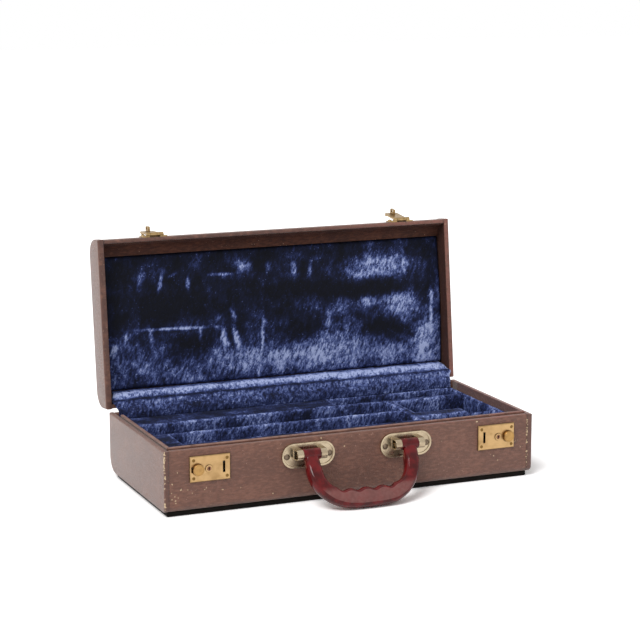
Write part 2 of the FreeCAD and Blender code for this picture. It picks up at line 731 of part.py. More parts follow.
# cove moulding along the lid's front wall
lid_inside = "({case_width} / 2 - %s - {side_lining} - {cloth_gap})" % LID_WALL
cove_deep = "({cove_radius} + {cove_lip})"
cove_far = "(%s - %s - {cloth_gap})" % (LID_FRONT, LID_WALL)
cove_low = ("-" + lid_inside, "%s - %s" % (cove_far, cove_deep), "-({lid_height} - %s - {cloth_gap})" % LID_WALL)
cove_size = ("2 * " + lid_inside, cove_deep, "{lid_height} - %s - {cloth_gap} - {cove_start}" % LID_WALL)
cove_block = block("cove_block", cove_low, cove_size)
cove_limit = lid_fill("cove_limit", LID_WALL + " + {cloth_gap}", "0", "-" + lid_inside, "2 * " + lid_inside)
cove_bar = doc.addObject("Part::Common", "cove_bar")
cove_bar.Base = cove_block
cove_bar.Tool = cove_limit
cove_axis = ("-{case_width} / 2", cove_low[1], "-{cove_start}")
cove_round = rod("cove_round", "right", cove_axis, "{cove_radius}", "{case_width}")
settle(cut("lid_cove", cove_bar, [cove_round]), "lid_cove", "lid")

# crowned plush pad of the lid
pad_far = "(%s - %s - {cloth_gap})" % (cove_far, cove_deep)
pad_near = "({pin_offset} + {pad_rear})"
pad_half = "((%s - %s) / 2)" % (pad_far, pad_near)
pad_low = ("-(%s + {cloth_gap} - {pad_side})" % lid_inside, pad_near, cove_low[2])
pad_tall = "{lid_height} - %s - {cloth_gap} - {pad_drop} + {pad_crown}" % LID_WALL
pad_size = ("2 * (%s + {cloth_gap} - {pad_side})" % lid_inside, "2 * " + pad_half, pad_tall)
pad_block = block("pad_block", pad_low, pad_size)
pad_bow = "((%s^2 + {pad_crown}^2) / (2 * {pad_crown}))" % pad_half
pad_axis = ("-{case_width} / 2", "%s + %s" % (pad_near, pad_half), "-({pad_drop} - {pad_crown}) - %s" % pad_bow)
pad_drum = rod("pad_drum", "right", pad_axis, pad_bow, "{case_width}")
lid_pad = doc.addObject("Part::Common", "lid_pad")
lid_pad.Base = pad_block
lid_pad.Tool = pad_drum
settle(lid_pad, "lid_pad", "lid")

# plush cloth that bridges the hinge line, drawn with the lid open
cloth_points = [
    ("- {cloth_front}", "- {cloth_low}"),
    ("- {cloth_inner}", "- {cloth_low}"),
    ("- {cloth_inner}", "+ {cloth_over_rim}"),
    ("+ {cloth_fall}", "+ {cloth_over_rim}"),
    ("+ {cloth_fall}", "+ {cloth_shelf}"),
    ("+ {cloth_end}", "+ {cloth_shelf}"),
    ("+ {cloth_end}", "+ {cloth_top}"),
    ("+ {cloth_roll_top}", "+ {cloth_top}"),
    ("+ {cloth_roll}", "+ {cloth_roll_height}"),
    ("- {cloth_crease}", "+ {cloth_crease_height}"),
    ("- {cloth_fold}", "+ {cloth_fold_height}"),
    ("- {cloth_front}", "+ {cloth_brow}"),
]
cloth_spots = [("%s %s" % (TUB_FACE, back), "{tub_height} %s" % up) for back, up in cloth_points]
cloth = doc.addObject("PartDesign::Body", "hinge_cloth")
extrude(cloth, outline(cloth, "side", "-{cloth_half_length}", cloth_spots), "2 * {cloth_half_length}")
settle(cloth, "hinge_cloth", "tub")

# butt hinges on the rear wall
third = "(({hinge_width} - 2 * {knuckle_gap}) / 3)"
for number, side in enumerate(SIDES):
    low_x, wide = across(side, "{hinge_reach} - {hinge_width} / 2", "{hinge_reach} + {hinge_width} / 2")
    starts = [low_x + " + %d * (%s + {knuckle_gap})" % (index, third) for index in range(3)]
    axis_y = HINGE_Y
    leaf_low = (low_x, TUB_FACE, "{tub_height} - {leaf_drop} - {leaf_tall}")
    parts = [block("tub_leaf_plate_" + side, leaf_low, (wide, "{leaf_thick}", "{leaf_tall}"))]
    for index in (0, 2):
        tab_low = (starts[index], TUB_FACE, "{tub_height} - {leaf_drop}")
        tab_name = "tub_leaf_tab_%s_%d" % (side, index)
        parts.append(block(tab_name, tab_low, (third, "{leaf_thick}", "{leaf_drop}")))
        knuckle_low = (starts[index], axis_y, "{tub_height}")
        parts.append(rod("tub_knuckle_%s_%d" % (side, index), "right", knuckle_low, "{knuckle_radius}", third))
    pin = rod("hinge_pin_" + side, "right", (low_x, axis_y, "{tub_height}"), "{pin_radius}", wide)
    bore = rod("hinge_bore_" + side, "right", (low_x, axis_y, "{tub_height}"), "{pin_radius}", wide)
    leaf = join_all("tub_leaf_body_" + side, parts)
    screws = tub_hinge_screws[2 * number:2 * number + 2]
    settle(cut("hinge_tub_leaf_" + side, leaf, [bore] + screws), "hinge_tub_leaf_" + side, "tub")
    settle(group("hinge_pin_place_" + side, [pin]), "hinge_pin_" + side, "tub")
    leaf_y = "{pin_offset} - {leaf_thick}"
    leaf_low = (low_x, leaf_y, "-({leaf_drop} + {leaf_tall})")
    parts = [
        block("lid_leaf_plate_" + side, leaf_low, (wide, "{leaf_thick}", "{leaf_tall}")),
        block("lid_leaf_tab_" + side, (starts[1], leaf_y, "-{leaf_drop}"), (third, "{leaf_thick}", "{leaf_drop}")),
        rod("lid_knuckle_" + side, "right", (starts[1], "0", "0"), "{knuckle_radius}", third),
    ]
    leaf = join_all("lid_leaf_body_" + side, parts)
    bore = rod("lid_bore_" + side, "right", (low_x, "0", "0"), "{pin_radius} + {running_gap}", wide)
    screws = lid_hinge_screws[2 * number:2 * number + 2]
    settle(cut("hinge_lid_leaf_" + side, leaf, [bore] + screws), "hinge_lid_leaf_" + side, "lid")

# locks
plate_y = "-(%s + {plate_rise})" % TUB_FACE
knob_y = "-(%s + {plate_rise} + {knob_gap})" % TUB_FACE
bolt_y = "-(%s - {bolt_near})" % TUB_FACE
for number, side in enumerate(SIDES):
    start, wide = across(side, "{lock_reach} - {plate_wide} / 2", "{lock_reach} + {plate_wide} / 2")
    plate_low = (start, plate_y, "{plate_mid} - {plate_tall} / 2")
    plate = block("lock_plate_body_" + side, plate_low, (wide, "{plate_rise}", "{plate_tall}"))
    soften(plate, "{plate_bevel}", ["front low", "front top", "front left", "front right"], "Chamfer")
    key_x = point(side, "{lock_reach} + {tumbler_out}")
    ring = rod("lock_ring_" + side, "forward", (key_x, plate_y, "{tumbler_mid}"), "{ring_radius}", "{ring_rise}")
    face = join_all("lock_face_" + side, [plate, ring])
    stem_reach = "{lock_reach} + {knob_out}"
    room = "{stem_radius} + {stem_gap}"
    start, wide = across(side, "%s - (%s)" % (stem_reach, room), "%s + %s + {knob_travel}" % (stem_reach, room))
    through = "2 * {plate_rise}"
    slot_y = "-(%s + 1.5 * {plate_rise})" % TUB_FACE
    slot_low = (start, slot_y, "{bolt_mid} - (%s)" % room)
    stem_slot = block("stem_slot_" + side, slot_low, (wide, through, "2 * (%s)" % room))
    start, wide = across(side, SLOT_REACH + " - {slot_wide} / 2", SLOT_REACH + " + {slot_wide} / 2")
    slot_low = (start, slot_y, "{slot_mid} - {slot_tall} / 2")
    staple_slot = block("staple_slot_" + side, slot_low, (wide, through, "{slot_tall}"))
    bore_y = "-(%s - {plate_rise})" % TUB_FACE
    bore_radius = "{tumbler_radius} + {running_gap}"
    key_bore = rod("key_bore_" + side, "forward", (key_x, bore_y, "{tumbler_mid}"), bore_radius, "3 * {plate_rise}")
    screws = lock_screws[4 * number:4 * number + 4]
    tools = [stem_slot, staple_slot, key_bore] + screws
    settle(cut("lock_plate_" + side, face, tools), "lock_plate_" + side, "tub")
    # shallow housing behind the plate
    start, wide = across(
        side,
        "{lock_reach} - {housing_half} + {housing_wall}",
        "{lock_reach} + {housing_half} - {housing_wall}",
    )
    room_low = (start, "-(%s + {housing_wall})" % TUB_FACE, "{plate_mid} - {housing_half_tall} + {housing_wall}")
    room_size = (wide, "{housing_depth}", "2 * ({housing_half_tall} - {housing_wall})")
    case_room = block("lock_case_room_" + side, room_low, room_size)
    case = cut("lock_case_" + side, housing_space("lock_case_body_" + side, side), [case_room])
    settle(case, "lock_case_" + side, "tub")
    # knob, stem and bolt
    knob_x = point(side, stem_reach)
    knob_low = (knob_x, knob_y, "{bolt_mid}")
    knob = dome("knob_head_" + side, "forward", knob_low, "{knob_radius}", "{knob_rise}", "{knob_dome}")
    stem_long = "{plate_rise} + {knob_gap} + {bolt_near}"
    stem = rod("knob_stem_" + side, "forward", (knob_x, bolt_y, "{bolt_mid}"), "{stem_radius}", stem_long)
    start, wide = across(side, SLOT_REACH + " - {bolt_past}", stem_reach + " + {bolt_tail}")
    bolt_low = (start, bolt_y, "{bolt_mid} - {bolt_half}")
    bolt = block("lock_bolt_" + side, bolt_low, (wide, "{bolt_thick}", "2 * {bolt_half}"))
    start, wide = across(side, "{lock_reach} - {tab_in}", "{lock_reach} - {tab_in} + {tab_thick}")
    tab_tall = "{bolt_mid} - {bolt_half} - {tab_low}"
    tab = block("bolt_tab_" + side, (start, bolt_y, "{tab_low}"), (wide, "{bolt_thick}", tab_tall))
    settle(join_all("lock_knob_" + side, [knob, stem, bolt, tab]), "lock_knob_" + side, "tub")
    # coil spring between the bolt's tab and the housing's end
    near = "{lock_reach} - {tab_in} + {tab_thick}"
    far = "{lock_reach} + {housing_half} - {housing_wall}"
    helix = doc.addObject("Part::Helix", "spring_path_" + side)
    bind(helix, "Pitch", "{spring_pitch}")
    bind(helix, "Height", "%s - (%s) - 4 * {spring_wire}" % (far, near))
    bind(helix, "Radius", "{spring_radius}")
    ring = doc.addObject("Part::Circle", "spring_section_" + side)
    ring.Placement = FreeCAD.Placement(V(0, 0, 0), FreeCAD.Rotation(V(1, 0, 0), 90))
    bind(ring, "Radius", "{spring_wire}")
    bind(ring, "Placement.Base.x", "{spring_radius}")
    doc.recompute()
    coil = doc.addObject("Part::Sweep", "lock_spring_" + side)
    coil.Sections = [ring]
    coil.Spine = (helix, ["Edge%d" % (index + 1) for index in range(len(helix.Shape.Edges))])
    coil.Solid = True
    coil.Frenet = True
    coil.Placement = FreeCAD.Placement(V(0, 0, 0), TURNS["right"])
    start, wide = across(side, near, far)
    bind(coil, "Placement.Base.x", start + " + 2 * {spring_wire}")
    bind(coil, "Placement.Base.y", "-(%s - {spring_behind})" % TUB_FACE)
    bind(coil, "Placement.Base.z", "{spring_height}")
    settle(group("spring_place_" + side, [coil]), "lock_spring_" + side, "tub")
    # key tumbler
    plug_y = "-(%s + {tumbler_back})" % TUB_FACE
    plug_long = "{plate_rise} + {ring_rise} - {tumbler_back}"
    plug = rod("tumbler_plug_" + side, "forward", (key_x, plug_y, "{tumbler_mid}"), "{tumbler_radius}", plug_long)
    key_low = (
        key_x + " - {key_slot_wide} / 2",
        "-(%s + {plate_rise} + {ring_rise})" % TUB_FACE,
        "{tumbler_mid} - {key_slot_drop}",
    )
    key_size = ("{key_slot_wide}", "{key_slot_deep}", "1.5 * {key_slot_drop}")
    key_slot = block("key_slot_" + side, key_low, key_size)
    settle(cut("lock_tumbler_" + side, plug, [key_slot]), "lock_tumbler_" + side, "tub")

# hasps on the lid's front wall
pin_y = LID_FRONT + " + {hasp_pin_out}"
pin_z = "-{hasp_pin_down}"
for number, side in enumerate(SIDES):
    start, wide = across(side, SLOT_REACH + " - {hasp_base_wide} / 2", SLOT_REACH + " + {hasp_base_wide} / 2")
    base_low = (start, LID_FRONT, "-{hasp_base_far}")
    base_size = (wide, "{hasp_base_thick}", "{hasp_base_far} - {hasp_base_near}")
    plate = block("hasp_plate_" + side, base_low, base_size, [("{hasp_base_round}", [(0, 0.5, 0), (1, 0.5, 0)])])
    notch_half = "({hasp_leaf_knuckle} + {knuckle_gap})"
    start, wide = across(side, "%s - %s" % (SLOT_REACH, notch_half), "%s + %s" % (SLOT_REACH, notch_half))
    notch_z = "{hasp_pin_down} + {hasp_knuckle} + {hasp_notch}"
    notch_low = (start, LID_FRONT, "-(%s)" % notch_z)
    notch = block("hasp_notch_" + side, notch_low, (wide, "2 * {hasp_pin_out}", notch_z))
    lobes = []
    for index, sign in enumerate(("-", "+")):
        middle = "%s %s ({hasp_base_knuckle} + %s) / 2" % (SLOT_REACH, sign, notch_half)
        half = "({hasp_base_knuckle} - %s) / 2" % notch_half
        start, wide = across(side, "%s - %s" % (middle, half), "%s + %s" % (middle, half))
        lobe_name = "hasp_lobe_%s_%d" % (side, index)
        lobes.append(rod(lobe_name, "right", (start, pin_y, pin_z), "{hasp_knuckle}", wide))
    start, wide = across(side, SLOT_REACH + " - {hasp_base_knuckle}", SLOT_REACH + " + {hasp_base_knuckle}")
    bore = rod("hasp_bore_" + side, "right", (start, pin_y, pin_z), "{hasp_pin_radius}", wide)
    pin = rod("hasp_pin_" + side, "right", (start, pin_y, pin_z), "{hasp_pin_radius}", wide)
    plate = cut("hasp_plate_cut_" + side, plate, [notch])
    body = join_all("hasp_base_body_" + side, [plate] + lobes)
    screws = hasp_rivets[2 * number:2 * number + 2]
    settle(cut("hasp_base_" + side, body, [bore] + screws), "hasp_base_" + side, "lid")
    settle(group("hasp_pin_place_" + side, [pin]), "hasp_pin_" + side, "lid")
    # leaf, drawn closed with its pin at the origin
    thick = "{hasp_leaf_inner} + {hasp_leaf_outer}"
    knuckle_low = ("-{hasp_leaf_knuckle}", "0", "0")
    knuckle = rod("leaf_knuckle_" + side, "right", knuckle_low, "{hasp_knuckle}", "2 * {hasp_leaf_knuckle}")
    neck_low = ("-{hasp_leaf_knuckle}", "-{hasp_leaf_inner}", "0")
    neck = block("leaf_neck_" + side, neck_low, ("2 * {hasp_leaf_knuckle}", thick, "{hasp_leaf_neck}"))
    blade_low = ("-{hasp_leaf_half}", "-{hasp_leaf_inner}", "{hasp_leaf_neck}")
    blade_size = ("2 * {hasp_leaf_half}", thick, "{hasp_leaf_long} - {hasp_leaf_neck}")
    corners = [(0, 0.5, 1), (1, 0.5, 1)]
    blade = block("leaf_blade_" + side, blade_low, blade_size, [("{hasp_leaf_round}", corners)])
    curl_low = ("-{hasp_curl_half}", "{hasp_curl_out}", "{hasp_curl_down}")
    curl = rod("leaf_curl_" + side, "right", curl_low, "{hasp_curl_radius}", "2 * {hasp_curl_half}")
    bore_radius = "{hasp_pin_radius} + {running_gap}"
    bore = rod("leaf_bore_" + side, "right", knuckle_low, bore_radius, "2 * {hasp_leaf_knuckle}")
    leaf = join_all("hasp_leaf_body_" + side, [knuckle, neck, blade, curl])
    # staple on the leaf's inner face
    staple_mid = "({tub_height} + {hasp_pin_down} - {slot_mid})"
    staple_low = ("-{staple_half}", "-({hasp_leaf_inner} + {staple_deep})", staple_mid + " - {staple_half_tall}")
    staple_size = ("2 * {staple_half}", "{staple_deep}", "2 * {staple_half_tall}")
    tips = [("{staple_round}", ["front low", "front top"])]
    staple = block("staple_body_" + side, staple_low, staple_size, tips)
    bolt_out = "({hasp_pin_out} + {bolt_near})"
    bolt_down = "({tub_height} + {hasp_pin_down} - {bolt_mid})"
    eye_low = (
        "-2 * {staple_half}",
        "-(%s + {bolt_thick} + {staple_clear})" % bolt_out,
        bolt_down + " - {bolt_half} - {staple_clear}",
    )
    eye_size = ("4 * {staple_half}", "{bolt_thick} + 2 * {staple_clear}", "2 * ({bolt_half} + {staple_clear})")
    eye = block("staple_eye_" + side, eye_low, eye_size)
    settle(cut("hasp_leaf_" + side, leaf, [bore]), "hasp_leaf_" + side, "hasp", side)
    settle(cut("hasp_staple_" + side, staple, [eye]), "hasp_staple_" + side, "hasp", side)

# handle brackets
for number, side in enumerate(SIDES):
    start, wide = across(side, "{bracket_reach} - {bracket_half}", "{bracket_reach} + {bracket_half}")
    round_places = [(0, 0.5, 0), (1, 0.5, 0), (0, 0.5, 1), (1, 0.5, 1)]
    full = "{bracket_plate} + {bracket_rim}"
    plate_low = (start, "-(%s + %s)" % (TUB_FACE, full), "{bracket_mid} - {bracket_half_tall}")
    rounds = [("{bracket_round}", round_places)]
    plate = block("bracket_plate_" + side, plate_low, (wide, full, "2 * {bracket_half_tall}"), rounds)
    inset = "{bracket_rim_wide}"
    dish_low = (start + " + " + inset, plate_low[1] + " - {bracket_rim}", plate_low[2] + " + " + inset)
    dish_size = (
        "%s - 2 * %s" % (wide, inset),
        "2 * {bracket_rim}",
        "2 * ({bracket_half_tall} - %s)" % inset,
    )
    dish = block("bracket_dish_" + side, dish_low, dish_size, [("{bracket_round} - " + inset, round_places)])
    plate = cut("bracket_tray_" + side, plate, [dish])
    lugs = []
    sockets = []
    for index, (near, far) in enumerate((("-{lug_outer}", "-{lug_inner}"), ("{lug_inner}", "{lug_outer}"))):
        start, wide = across(side, "{bracket_reach} + %s" % near, "{bracket_reach} + %s" % far)
        lug_low = (start, "-(%s + {pivot_out} + {lug_radius})" % TUB_FACE, "{pivot_height} - {lug_radius}")
        lug_size = (wide, "{pivot_out} + {lug_radius} - {bracket_plate}", "2 * {lug_radius}")
        lug_rounds = [("{lug_round}", ["front low", "front top"])]
        lugs.append(block("bracket_lug_%s_%d" % (side, index), lug_low, lug_size, lug_rounds))
        if index == 0:
            near, far = "-{lug_outer} - {lug_wall}", "-{lug_inner} - {lug_web}"
        else:
            near, far = "{lug_inner} + {lug_web}", "{lug_outer} + {lug_wall}"
        start, wide = across(side, "{bracket_reach} + %s" % near, "{bracket_reach} + %s" % far)
        hole = "({lug_radius} - {lug_wall})"
        hole_low = (start, "-(%s + {pivot_out} + %s)" % (TUB_FACE, hole), "{pivot_height} - " + hole)
        hole_size = (wide, "{pivot_out} + %s - {bracket_plate} - {lug_wall}" % hole, "2 * " + hole)
        hole_rounds = [("{lug_round} - {lug_wall}", ["front low", "front top"])]
        sockets.append(block("bracket_socket_%s_%d" % (side, index), hole_low, hole_size, hole_rounds))
    body = join_all("bracket_body_" + side, [plate] + lugs)
    start, wide = across(side, "{bracket_reach} - {lug_pin_end}", "{bracket_reach} + {lug_pin_end}")
    pin_low = (start, "-(%s + {pivot_out})" % TUB_FACE, "{pivot_height}")
    pin = rod("handle_pin_" + side, "right", pin_low, "{lug_pin_radius}", wide)
    bore = rod("bracket_bore_" + side, "right", pin_low, "{lug_pin_radius}", wide)
    rivets = handle_rivets[2 * number:2 * number + 2]
    bracket = cut("handle_bracket_" + side, body, sockets + [bore] + rivets)
    settle(bracket, "handle_bracket_" + side, "tub")
    settle(group("handle_pin_place_" + side, [pin]), "handle_pin_" + side, "tub")

# handle, drawn hanging straight down from its pivot
grip_points = [
    ("-{left_outer_top}", "-{arm_top}"),
    ("-{left_outer_shoulder}", "-{grip_shoulder}"),
    ("-{left_knee}", "-{grip_knee}"),
    ("-{left_foot}", "-{grip_drop}"),
    ("{right_foot}", "-{grip_drop}"),
    ("{right_knee}", "-{grip_knee}"),
    ("{right_outer_shoulder}", "-{grip_shoulder}"),
    ("{right_outer_top}", "-{arm_top}"),
    ("{right_inner_top}", "-{arm_top}"),
    ("{right_inner_foot}", "-{grip_inner_drop}"),
    ("-{left_inner_foot}", "-{grip_inner_drop}"),
    ("-{left_inner_top}", "-{arm_top}"),
]
grip = doc.addObject("PartDesign::Body", "handle_grip")
extrude(grip, outline(grip, "front", "-{grip_half_thick}", grip_points), "2 * {grip_half_thick}")


# shares of the grip's box for a corner of its outline
def outline_share(body, across_size, drop):
    box = body.Tip.Shape.BoundBox
    return ((across_size - box.XMin) / box.XLength, 0.5, (-drop - box.ZMin) / box.ZLength)


LOOKUP = dict(SIZES)
doc.recompute()
bends = [
    ("{grip_bend}", [("left_outer_shoulder", -1, "grip_shoulder"), ("right_outer_shoulder", 1, "grip_shoulder")]),
    ("{grip_bend}", [("left_knee", -1, "grip_knee"), ("right_knee", 1, "grip_knee")]),
    ("{grip_base_bend}", [("left_foot", -1, "grip_drop"), ("right_foot", 1, "grip_drop")]),
    ("{grip_inner_bend}", [("left_inner_foot", -1, "grip_inner_drop"), ("right_inner_foot", 1, "grip_inner_drop")]),
]
for rule, corners in bends:
    doc.recompute()
    shares = [outline_share(grip, sign * LOOKUP[name], LOOKUP[drop]) for name, sign, drop in corners]
    soften(grip, rule, shares)
doc.recompute()
inner_share = outline_share(grip, -LOOKUP["scallop_middle"], LOOKUP["grip_inner_drop"])
rim_shares = [(0.5, 0, 0), (0.5, 1, 0), (inner_share[0], 0, inner_share[2]), (inner_share[0], 1, inner_share[2])]
soften(grip, "{grip_round}", rim_shares)
side_points = [
    ("-{barrel_radius}", "{barrel_radius}"),
    ("-{barrel_radius}", "0"),
    ("-{grip_half_thick}", "-{arm_taper}"),
    ("-{grip_half_thick}", "-{grip_drop} - {grip_round}"),
    ("{grip_half_thick}", "-{grip_drop} - {grip_round}"),
    ("{grip_half_thick}", "-{arm_taper}"),
    ("{barrel_radius}", "0"),
    ("{barrel_radius}", "{barrel_radius}"),
]
slab = doc.addObject("PartDesign::Body", "handle_slab")
extrude(slab, outline(slab, "side", "-{case_width} / 2", side_points), "{case_width}")
arms = doc.addObject("Part::Common", "handle_arms")
arms.Base = grip
arms.Tool = slab
barrels = []
bores = []
for sign in ("-", ""):
    middle = sign + "{bracket_reach}"
    low = (middle + " - {barrel_half}", "0", "0")
    tag = "left" if sign else "right"
    barrels.append(rod("handle_barrel_" + tag, "right", low, "{barrel_radius}", "2 * {barrel_half}"))
    bore_radius = "{lug_pin_radius} + {running_gap}"
    bores.append(rod("handle_bore_" + tag, "right", low, bore_radius, "2 * {barrel_half}"))
scallops = []
for index, step in enumerate((-1.5, -0.5, 0.5, 1.5)):
    low = (
        "-{scallop_middle} + %s * {scallop_pitch}" % step,
        "2 * {grip_half_thick}",
        "-({grip_inner_drop} + {scallop_deep} - {scallop_radius})",
    )
    scallops.append(rod("scallop_%d" % index, "forward", low, "{scallop_radius}", "4 * {grip_half_thick}"))
handle = cut("handle", join_all("handle_body", [arms] + barrels), bores + scallops)
settle(handle, "handle", "handle")

doc.recompute()
broken = [part.Label for part in doc.Objects if "Invalid" in part.State or "Error" in part.State]
if broken:
    raise RuntimeError("not built: " + ", ".join(broken))
os.makedirs("parts", exist_ok=True)
for label, piece in PIECES:
    shape = piece.Shape
    if shape.isNull() or not shape.isValid() or not shape.Solids:
        raise RuntimeError("bad shape: " + label)
    if min(solid.Volume for solid in shape.Solids) <= 0:
        raise RuntimeError("empty solid: " + label)
    box = shape.BoundBox
    print("%-26s %d solids %10.1f mm3  x %.1f..%.1f  y %.1f..%.1f  z %.1f..%.1f" % (
        label, len(shape.Solids), shape.Volume, box.XMin, box.XMax, box.YMin, box.YMax, box.ZMin, box.ZMax))
    shape.exportStep("parts/%s.step" % label)
print(len(PIECES), "parts")
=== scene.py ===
import math

import bmesh
import bpy
import numpy as np
from mathutils import Matrix, Vector, noise


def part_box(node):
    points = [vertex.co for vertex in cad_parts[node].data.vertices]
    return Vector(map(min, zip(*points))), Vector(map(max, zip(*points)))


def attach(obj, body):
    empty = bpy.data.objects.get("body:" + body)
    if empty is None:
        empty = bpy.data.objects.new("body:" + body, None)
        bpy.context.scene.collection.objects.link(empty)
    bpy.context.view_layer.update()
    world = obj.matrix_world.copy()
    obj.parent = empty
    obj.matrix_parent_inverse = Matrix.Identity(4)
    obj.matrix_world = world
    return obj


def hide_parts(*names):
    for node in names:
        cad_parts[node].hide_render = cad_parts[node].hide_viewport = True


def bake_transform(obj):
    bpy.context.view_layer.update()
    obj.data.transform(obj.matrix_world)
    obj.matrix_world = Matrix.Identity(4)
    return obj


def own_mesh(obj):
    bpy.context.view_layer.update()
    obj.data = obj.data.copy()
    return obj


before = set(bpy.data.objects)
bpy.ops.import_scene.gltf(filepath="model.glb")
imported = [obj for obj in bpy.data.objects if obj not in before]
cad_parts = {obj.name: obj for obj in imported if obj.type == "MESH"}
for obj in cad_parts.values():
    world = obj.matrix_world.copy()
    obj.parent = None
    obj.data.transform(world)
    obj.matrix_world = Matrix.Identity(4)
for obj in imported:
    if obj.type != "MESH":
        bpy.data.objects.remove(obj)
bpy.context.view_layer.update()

mm = 0.001
print("frame loaded", len(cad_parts), "nodes")


# the camera stands where the photograph was taken from
camera = {
    "place": (-0.7314, -1.7156, 0.5130), "turn": 23.09, "down": 10.95, "lens": 112.7, "sensor": 36, "near": 0.05,
}
turn, down = math.radians(camera["turn"]), math.radians(camera["down"])
ahead = Vector((math.sin(turn) * math.cos(down), math.cos(turn) * math.cos(down), -math.sin(down)))
aside = Vector((math.cos(turn), -math.sin(turn), 0))
lensData = bpy.data.cameras.new("camera")
lensData.lens = camera["lens"]
lensData.sensor_width = camera["sensor"]
lensData.clip_start = camera["near"]
viewer = bpy.data.objects.new("camera", lensData)
bpy.context.scene.collection.objects.link(viewer)
facing = Matrix((aside, aside.cross(ahead), -ahead)).transposed()
viewer.matrix_world = Matrix.Translation(camera["place"]) @ facing.to_4x4()
bpy.context.scene.camera = viewer


# small tools for modelling, all in millimetres
def clearSelection():
    active = bpy.context.view_layer.objects.active
    if active and active.mode != "OBJECT":
        bpy.ops.object.mode_set(mode="OBJECT")
    bpy.ops.object.select_all(action="DESELECT")


def makeActive(piece):
    clearSelection()
    piece.select_set(True)
    bpy.context.view_layer.objects.active = piece


def bakePlace(piece):
    makeActive(piece)
    bpy.ops.object.transform_apply(location=True, rotation=True, scale=True)
    return piece


def nameNew(name):
    piece = bpy.context.object
    piece.name = piece.data.name = name
    return piece


def addBlock(name, low, high):
    clearSelection()
    low, high = Vector(low) * mm, Vector(high) * mm
    bpy.ops.mesh.primitive_cube_add(size=1, location=(low + high) / 2)
    piece = nameNew(name)
    piece.scale = high - low
    return bakePlace(piece)


def addRod(name, centre, radius, length, sides, along):
    turned = {"x": (0, math.pi / 2, 0), "y": (math.pi / 2, 0, 0)}[along]
    clearSelection()
    bpy.ops.mesh.primitive_cylinder_add(
        vertices=sides, radius=radius * mm, depth=length * mm, location=[c * mm for c in centre], rotation=turned)
    return bakePlace(nameNew(name))


# picks edges or faces by their place and works one edit-mode operator on them
def work(piece, kind, wanted, operator, **settings):
    makeActive(piece)
    bpy.ops.object.mode_set(mode="EDIT")
    bpy.ops.mesh.select_mode(type=kind)
    bpy.ops.mesh.select_all(action="DESELECT")
    net = bmesh.from_edit_mesh(piece.data)
    for item in net.edges if kind == "EDGE" else net.faces:
        if wanted(item):
            item.select_set(True)
    bmesh.update_edit_mesh(piece.data)
    operator(**settings)
    bpy.ops.object.mode_set(mode="OBJECT")


def edgeAt(axis, place, axis2=None, place2=None, reach=0.05):
    def wanted(edge):
        first = all(abs(v.co[axis] - place * mm) < reach * mm for v in edge.verts)
        second = axis2 is None or all(abs(v.co[axis2] - place2 * mm) < reach * mm for v in edge.verts)
        return first and second
    return wanted


def roundEdges(piece, wanted, radius, segments):
    work(piece, "EDGE", wanted, bpy.ops.mesh.bevel, offset=radius * mm, segments=segments, affect="EDGES")


def turnOutward(piece):
    work(piece, "FACE", lambda face: True, bpy.ops.mesh.normals_make_consistent, inside=False)


def modify(piece, kind, **settings):
    makeActive(piece)
    change = piece.modifiers.new(kind, kind)
    for key, value in settings.items():
        setattr(change, key, value)
    bpy.ops.object.modifier_apply(modifier=change.name)


# joins another closed piece to this one, or cuts it out, and uses it up
def combine(piece, other, operation):
    modify(piece, "BOOLEAN", operation=operation, object=other, solver="EXACT")
    bpy.data.objects.remove(other)


def smooth(piece, angle=35):
    makeActive(piece)
    bpy.ops.object.shade_smooth_by_angle(angle=math.radians(angle))


def smoothAll(piece):
    makeActive(piece)
    bpy.ops.object.shade_smooth()


def finishPiece(piece, finish, body, stands=()):
    piece.data.materials.clear()
    piece.data.materials.append(finish)
    if body:
        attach(piece, body)
    if stands:
        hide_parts(*stands)


# small tools for materials
def hexColour(text):
    parts = [int(text[i:i + 2], 16) / 255 for i in (0, 2, 4)]
    return tuple(c / 12.92 if c <= 0.04045 else ((c + 0.055) / 1.055) ** 2.4 for c in parts) + (1,)


# adds a node; inputs go in order or by name, each a value, a hex colour or a link
def addNode(tree, kind, settings=None, inputs=(), output=0):
    node = tree.nodes.new("ShaderNode" + kind)
    for key, value in (settings or {}).items():
        setattr(node, key, value)
    for key, value in (inputs if isinstance(inputs, dict) else dict(enumerate(inputs))).items():
        if isinstance(value, bpy.types.NodeSocket):
            tree.links.new(value, node.inputs[key])
        else:
            node.inputs[key].default_value = hexColour(value) if isinstance(value, str) else value
    return node.outputs if output is None else node.outputs[output]


smoothStep, asColour = {"interpolation_type": "SMOOTHSTEP"}, {"data_type": "RGBA"}
times, plus, minus, timesPlus = ({"operation": name} for name in ("MULTIPLY", "ADD", "SUBTRACT", "MULTIPLY_ADD"))
largest, absolute = {"operation": "MAXIMUM"}, {"operation": "ABSOLUTE"}
dotProduct, distance = {"operation": "DOT_PRODUCT"}, {"operation": "DISTANCE"}


def newFinish(name, **sockets):
    finish = bpy.data.materials.new(name)
    finish.use_nodes = True
    tree = finish.node_tree
    shader = tree.nodes["Principled BSDF"]
    for key, value in sockets.items():
        shader.inputs[key.replace("_", " ")].default_value = value
    places = addNode(tree, "TexCoord", output=None)
    return finish, tree, shader, places["Object"], places["Normal"]


def feed(tree, shader, links):
    for key, source in links.items():
        tree.links.new(source, shader.inputs[key])


# an uneven pattern of a size in millimetres, stretched and leaning as the surface needs
def grain(tree, place, size, detail=3.0, stretch=(1, 1, 1), lean=0.0):
    if lean:
        place = addNode(tree, "Mapping", None, {"Vector": place, "Rotation": (0, math.radians(lean), 0)})
    scaled = addNode(tree, "Mapping", None, {"Vector": place, "Scale": stretch})
    return addNode(tree, "TexNoise", None, {"Vector": scaled, "Scale": 1 / (size * mm), "Detail": detail})


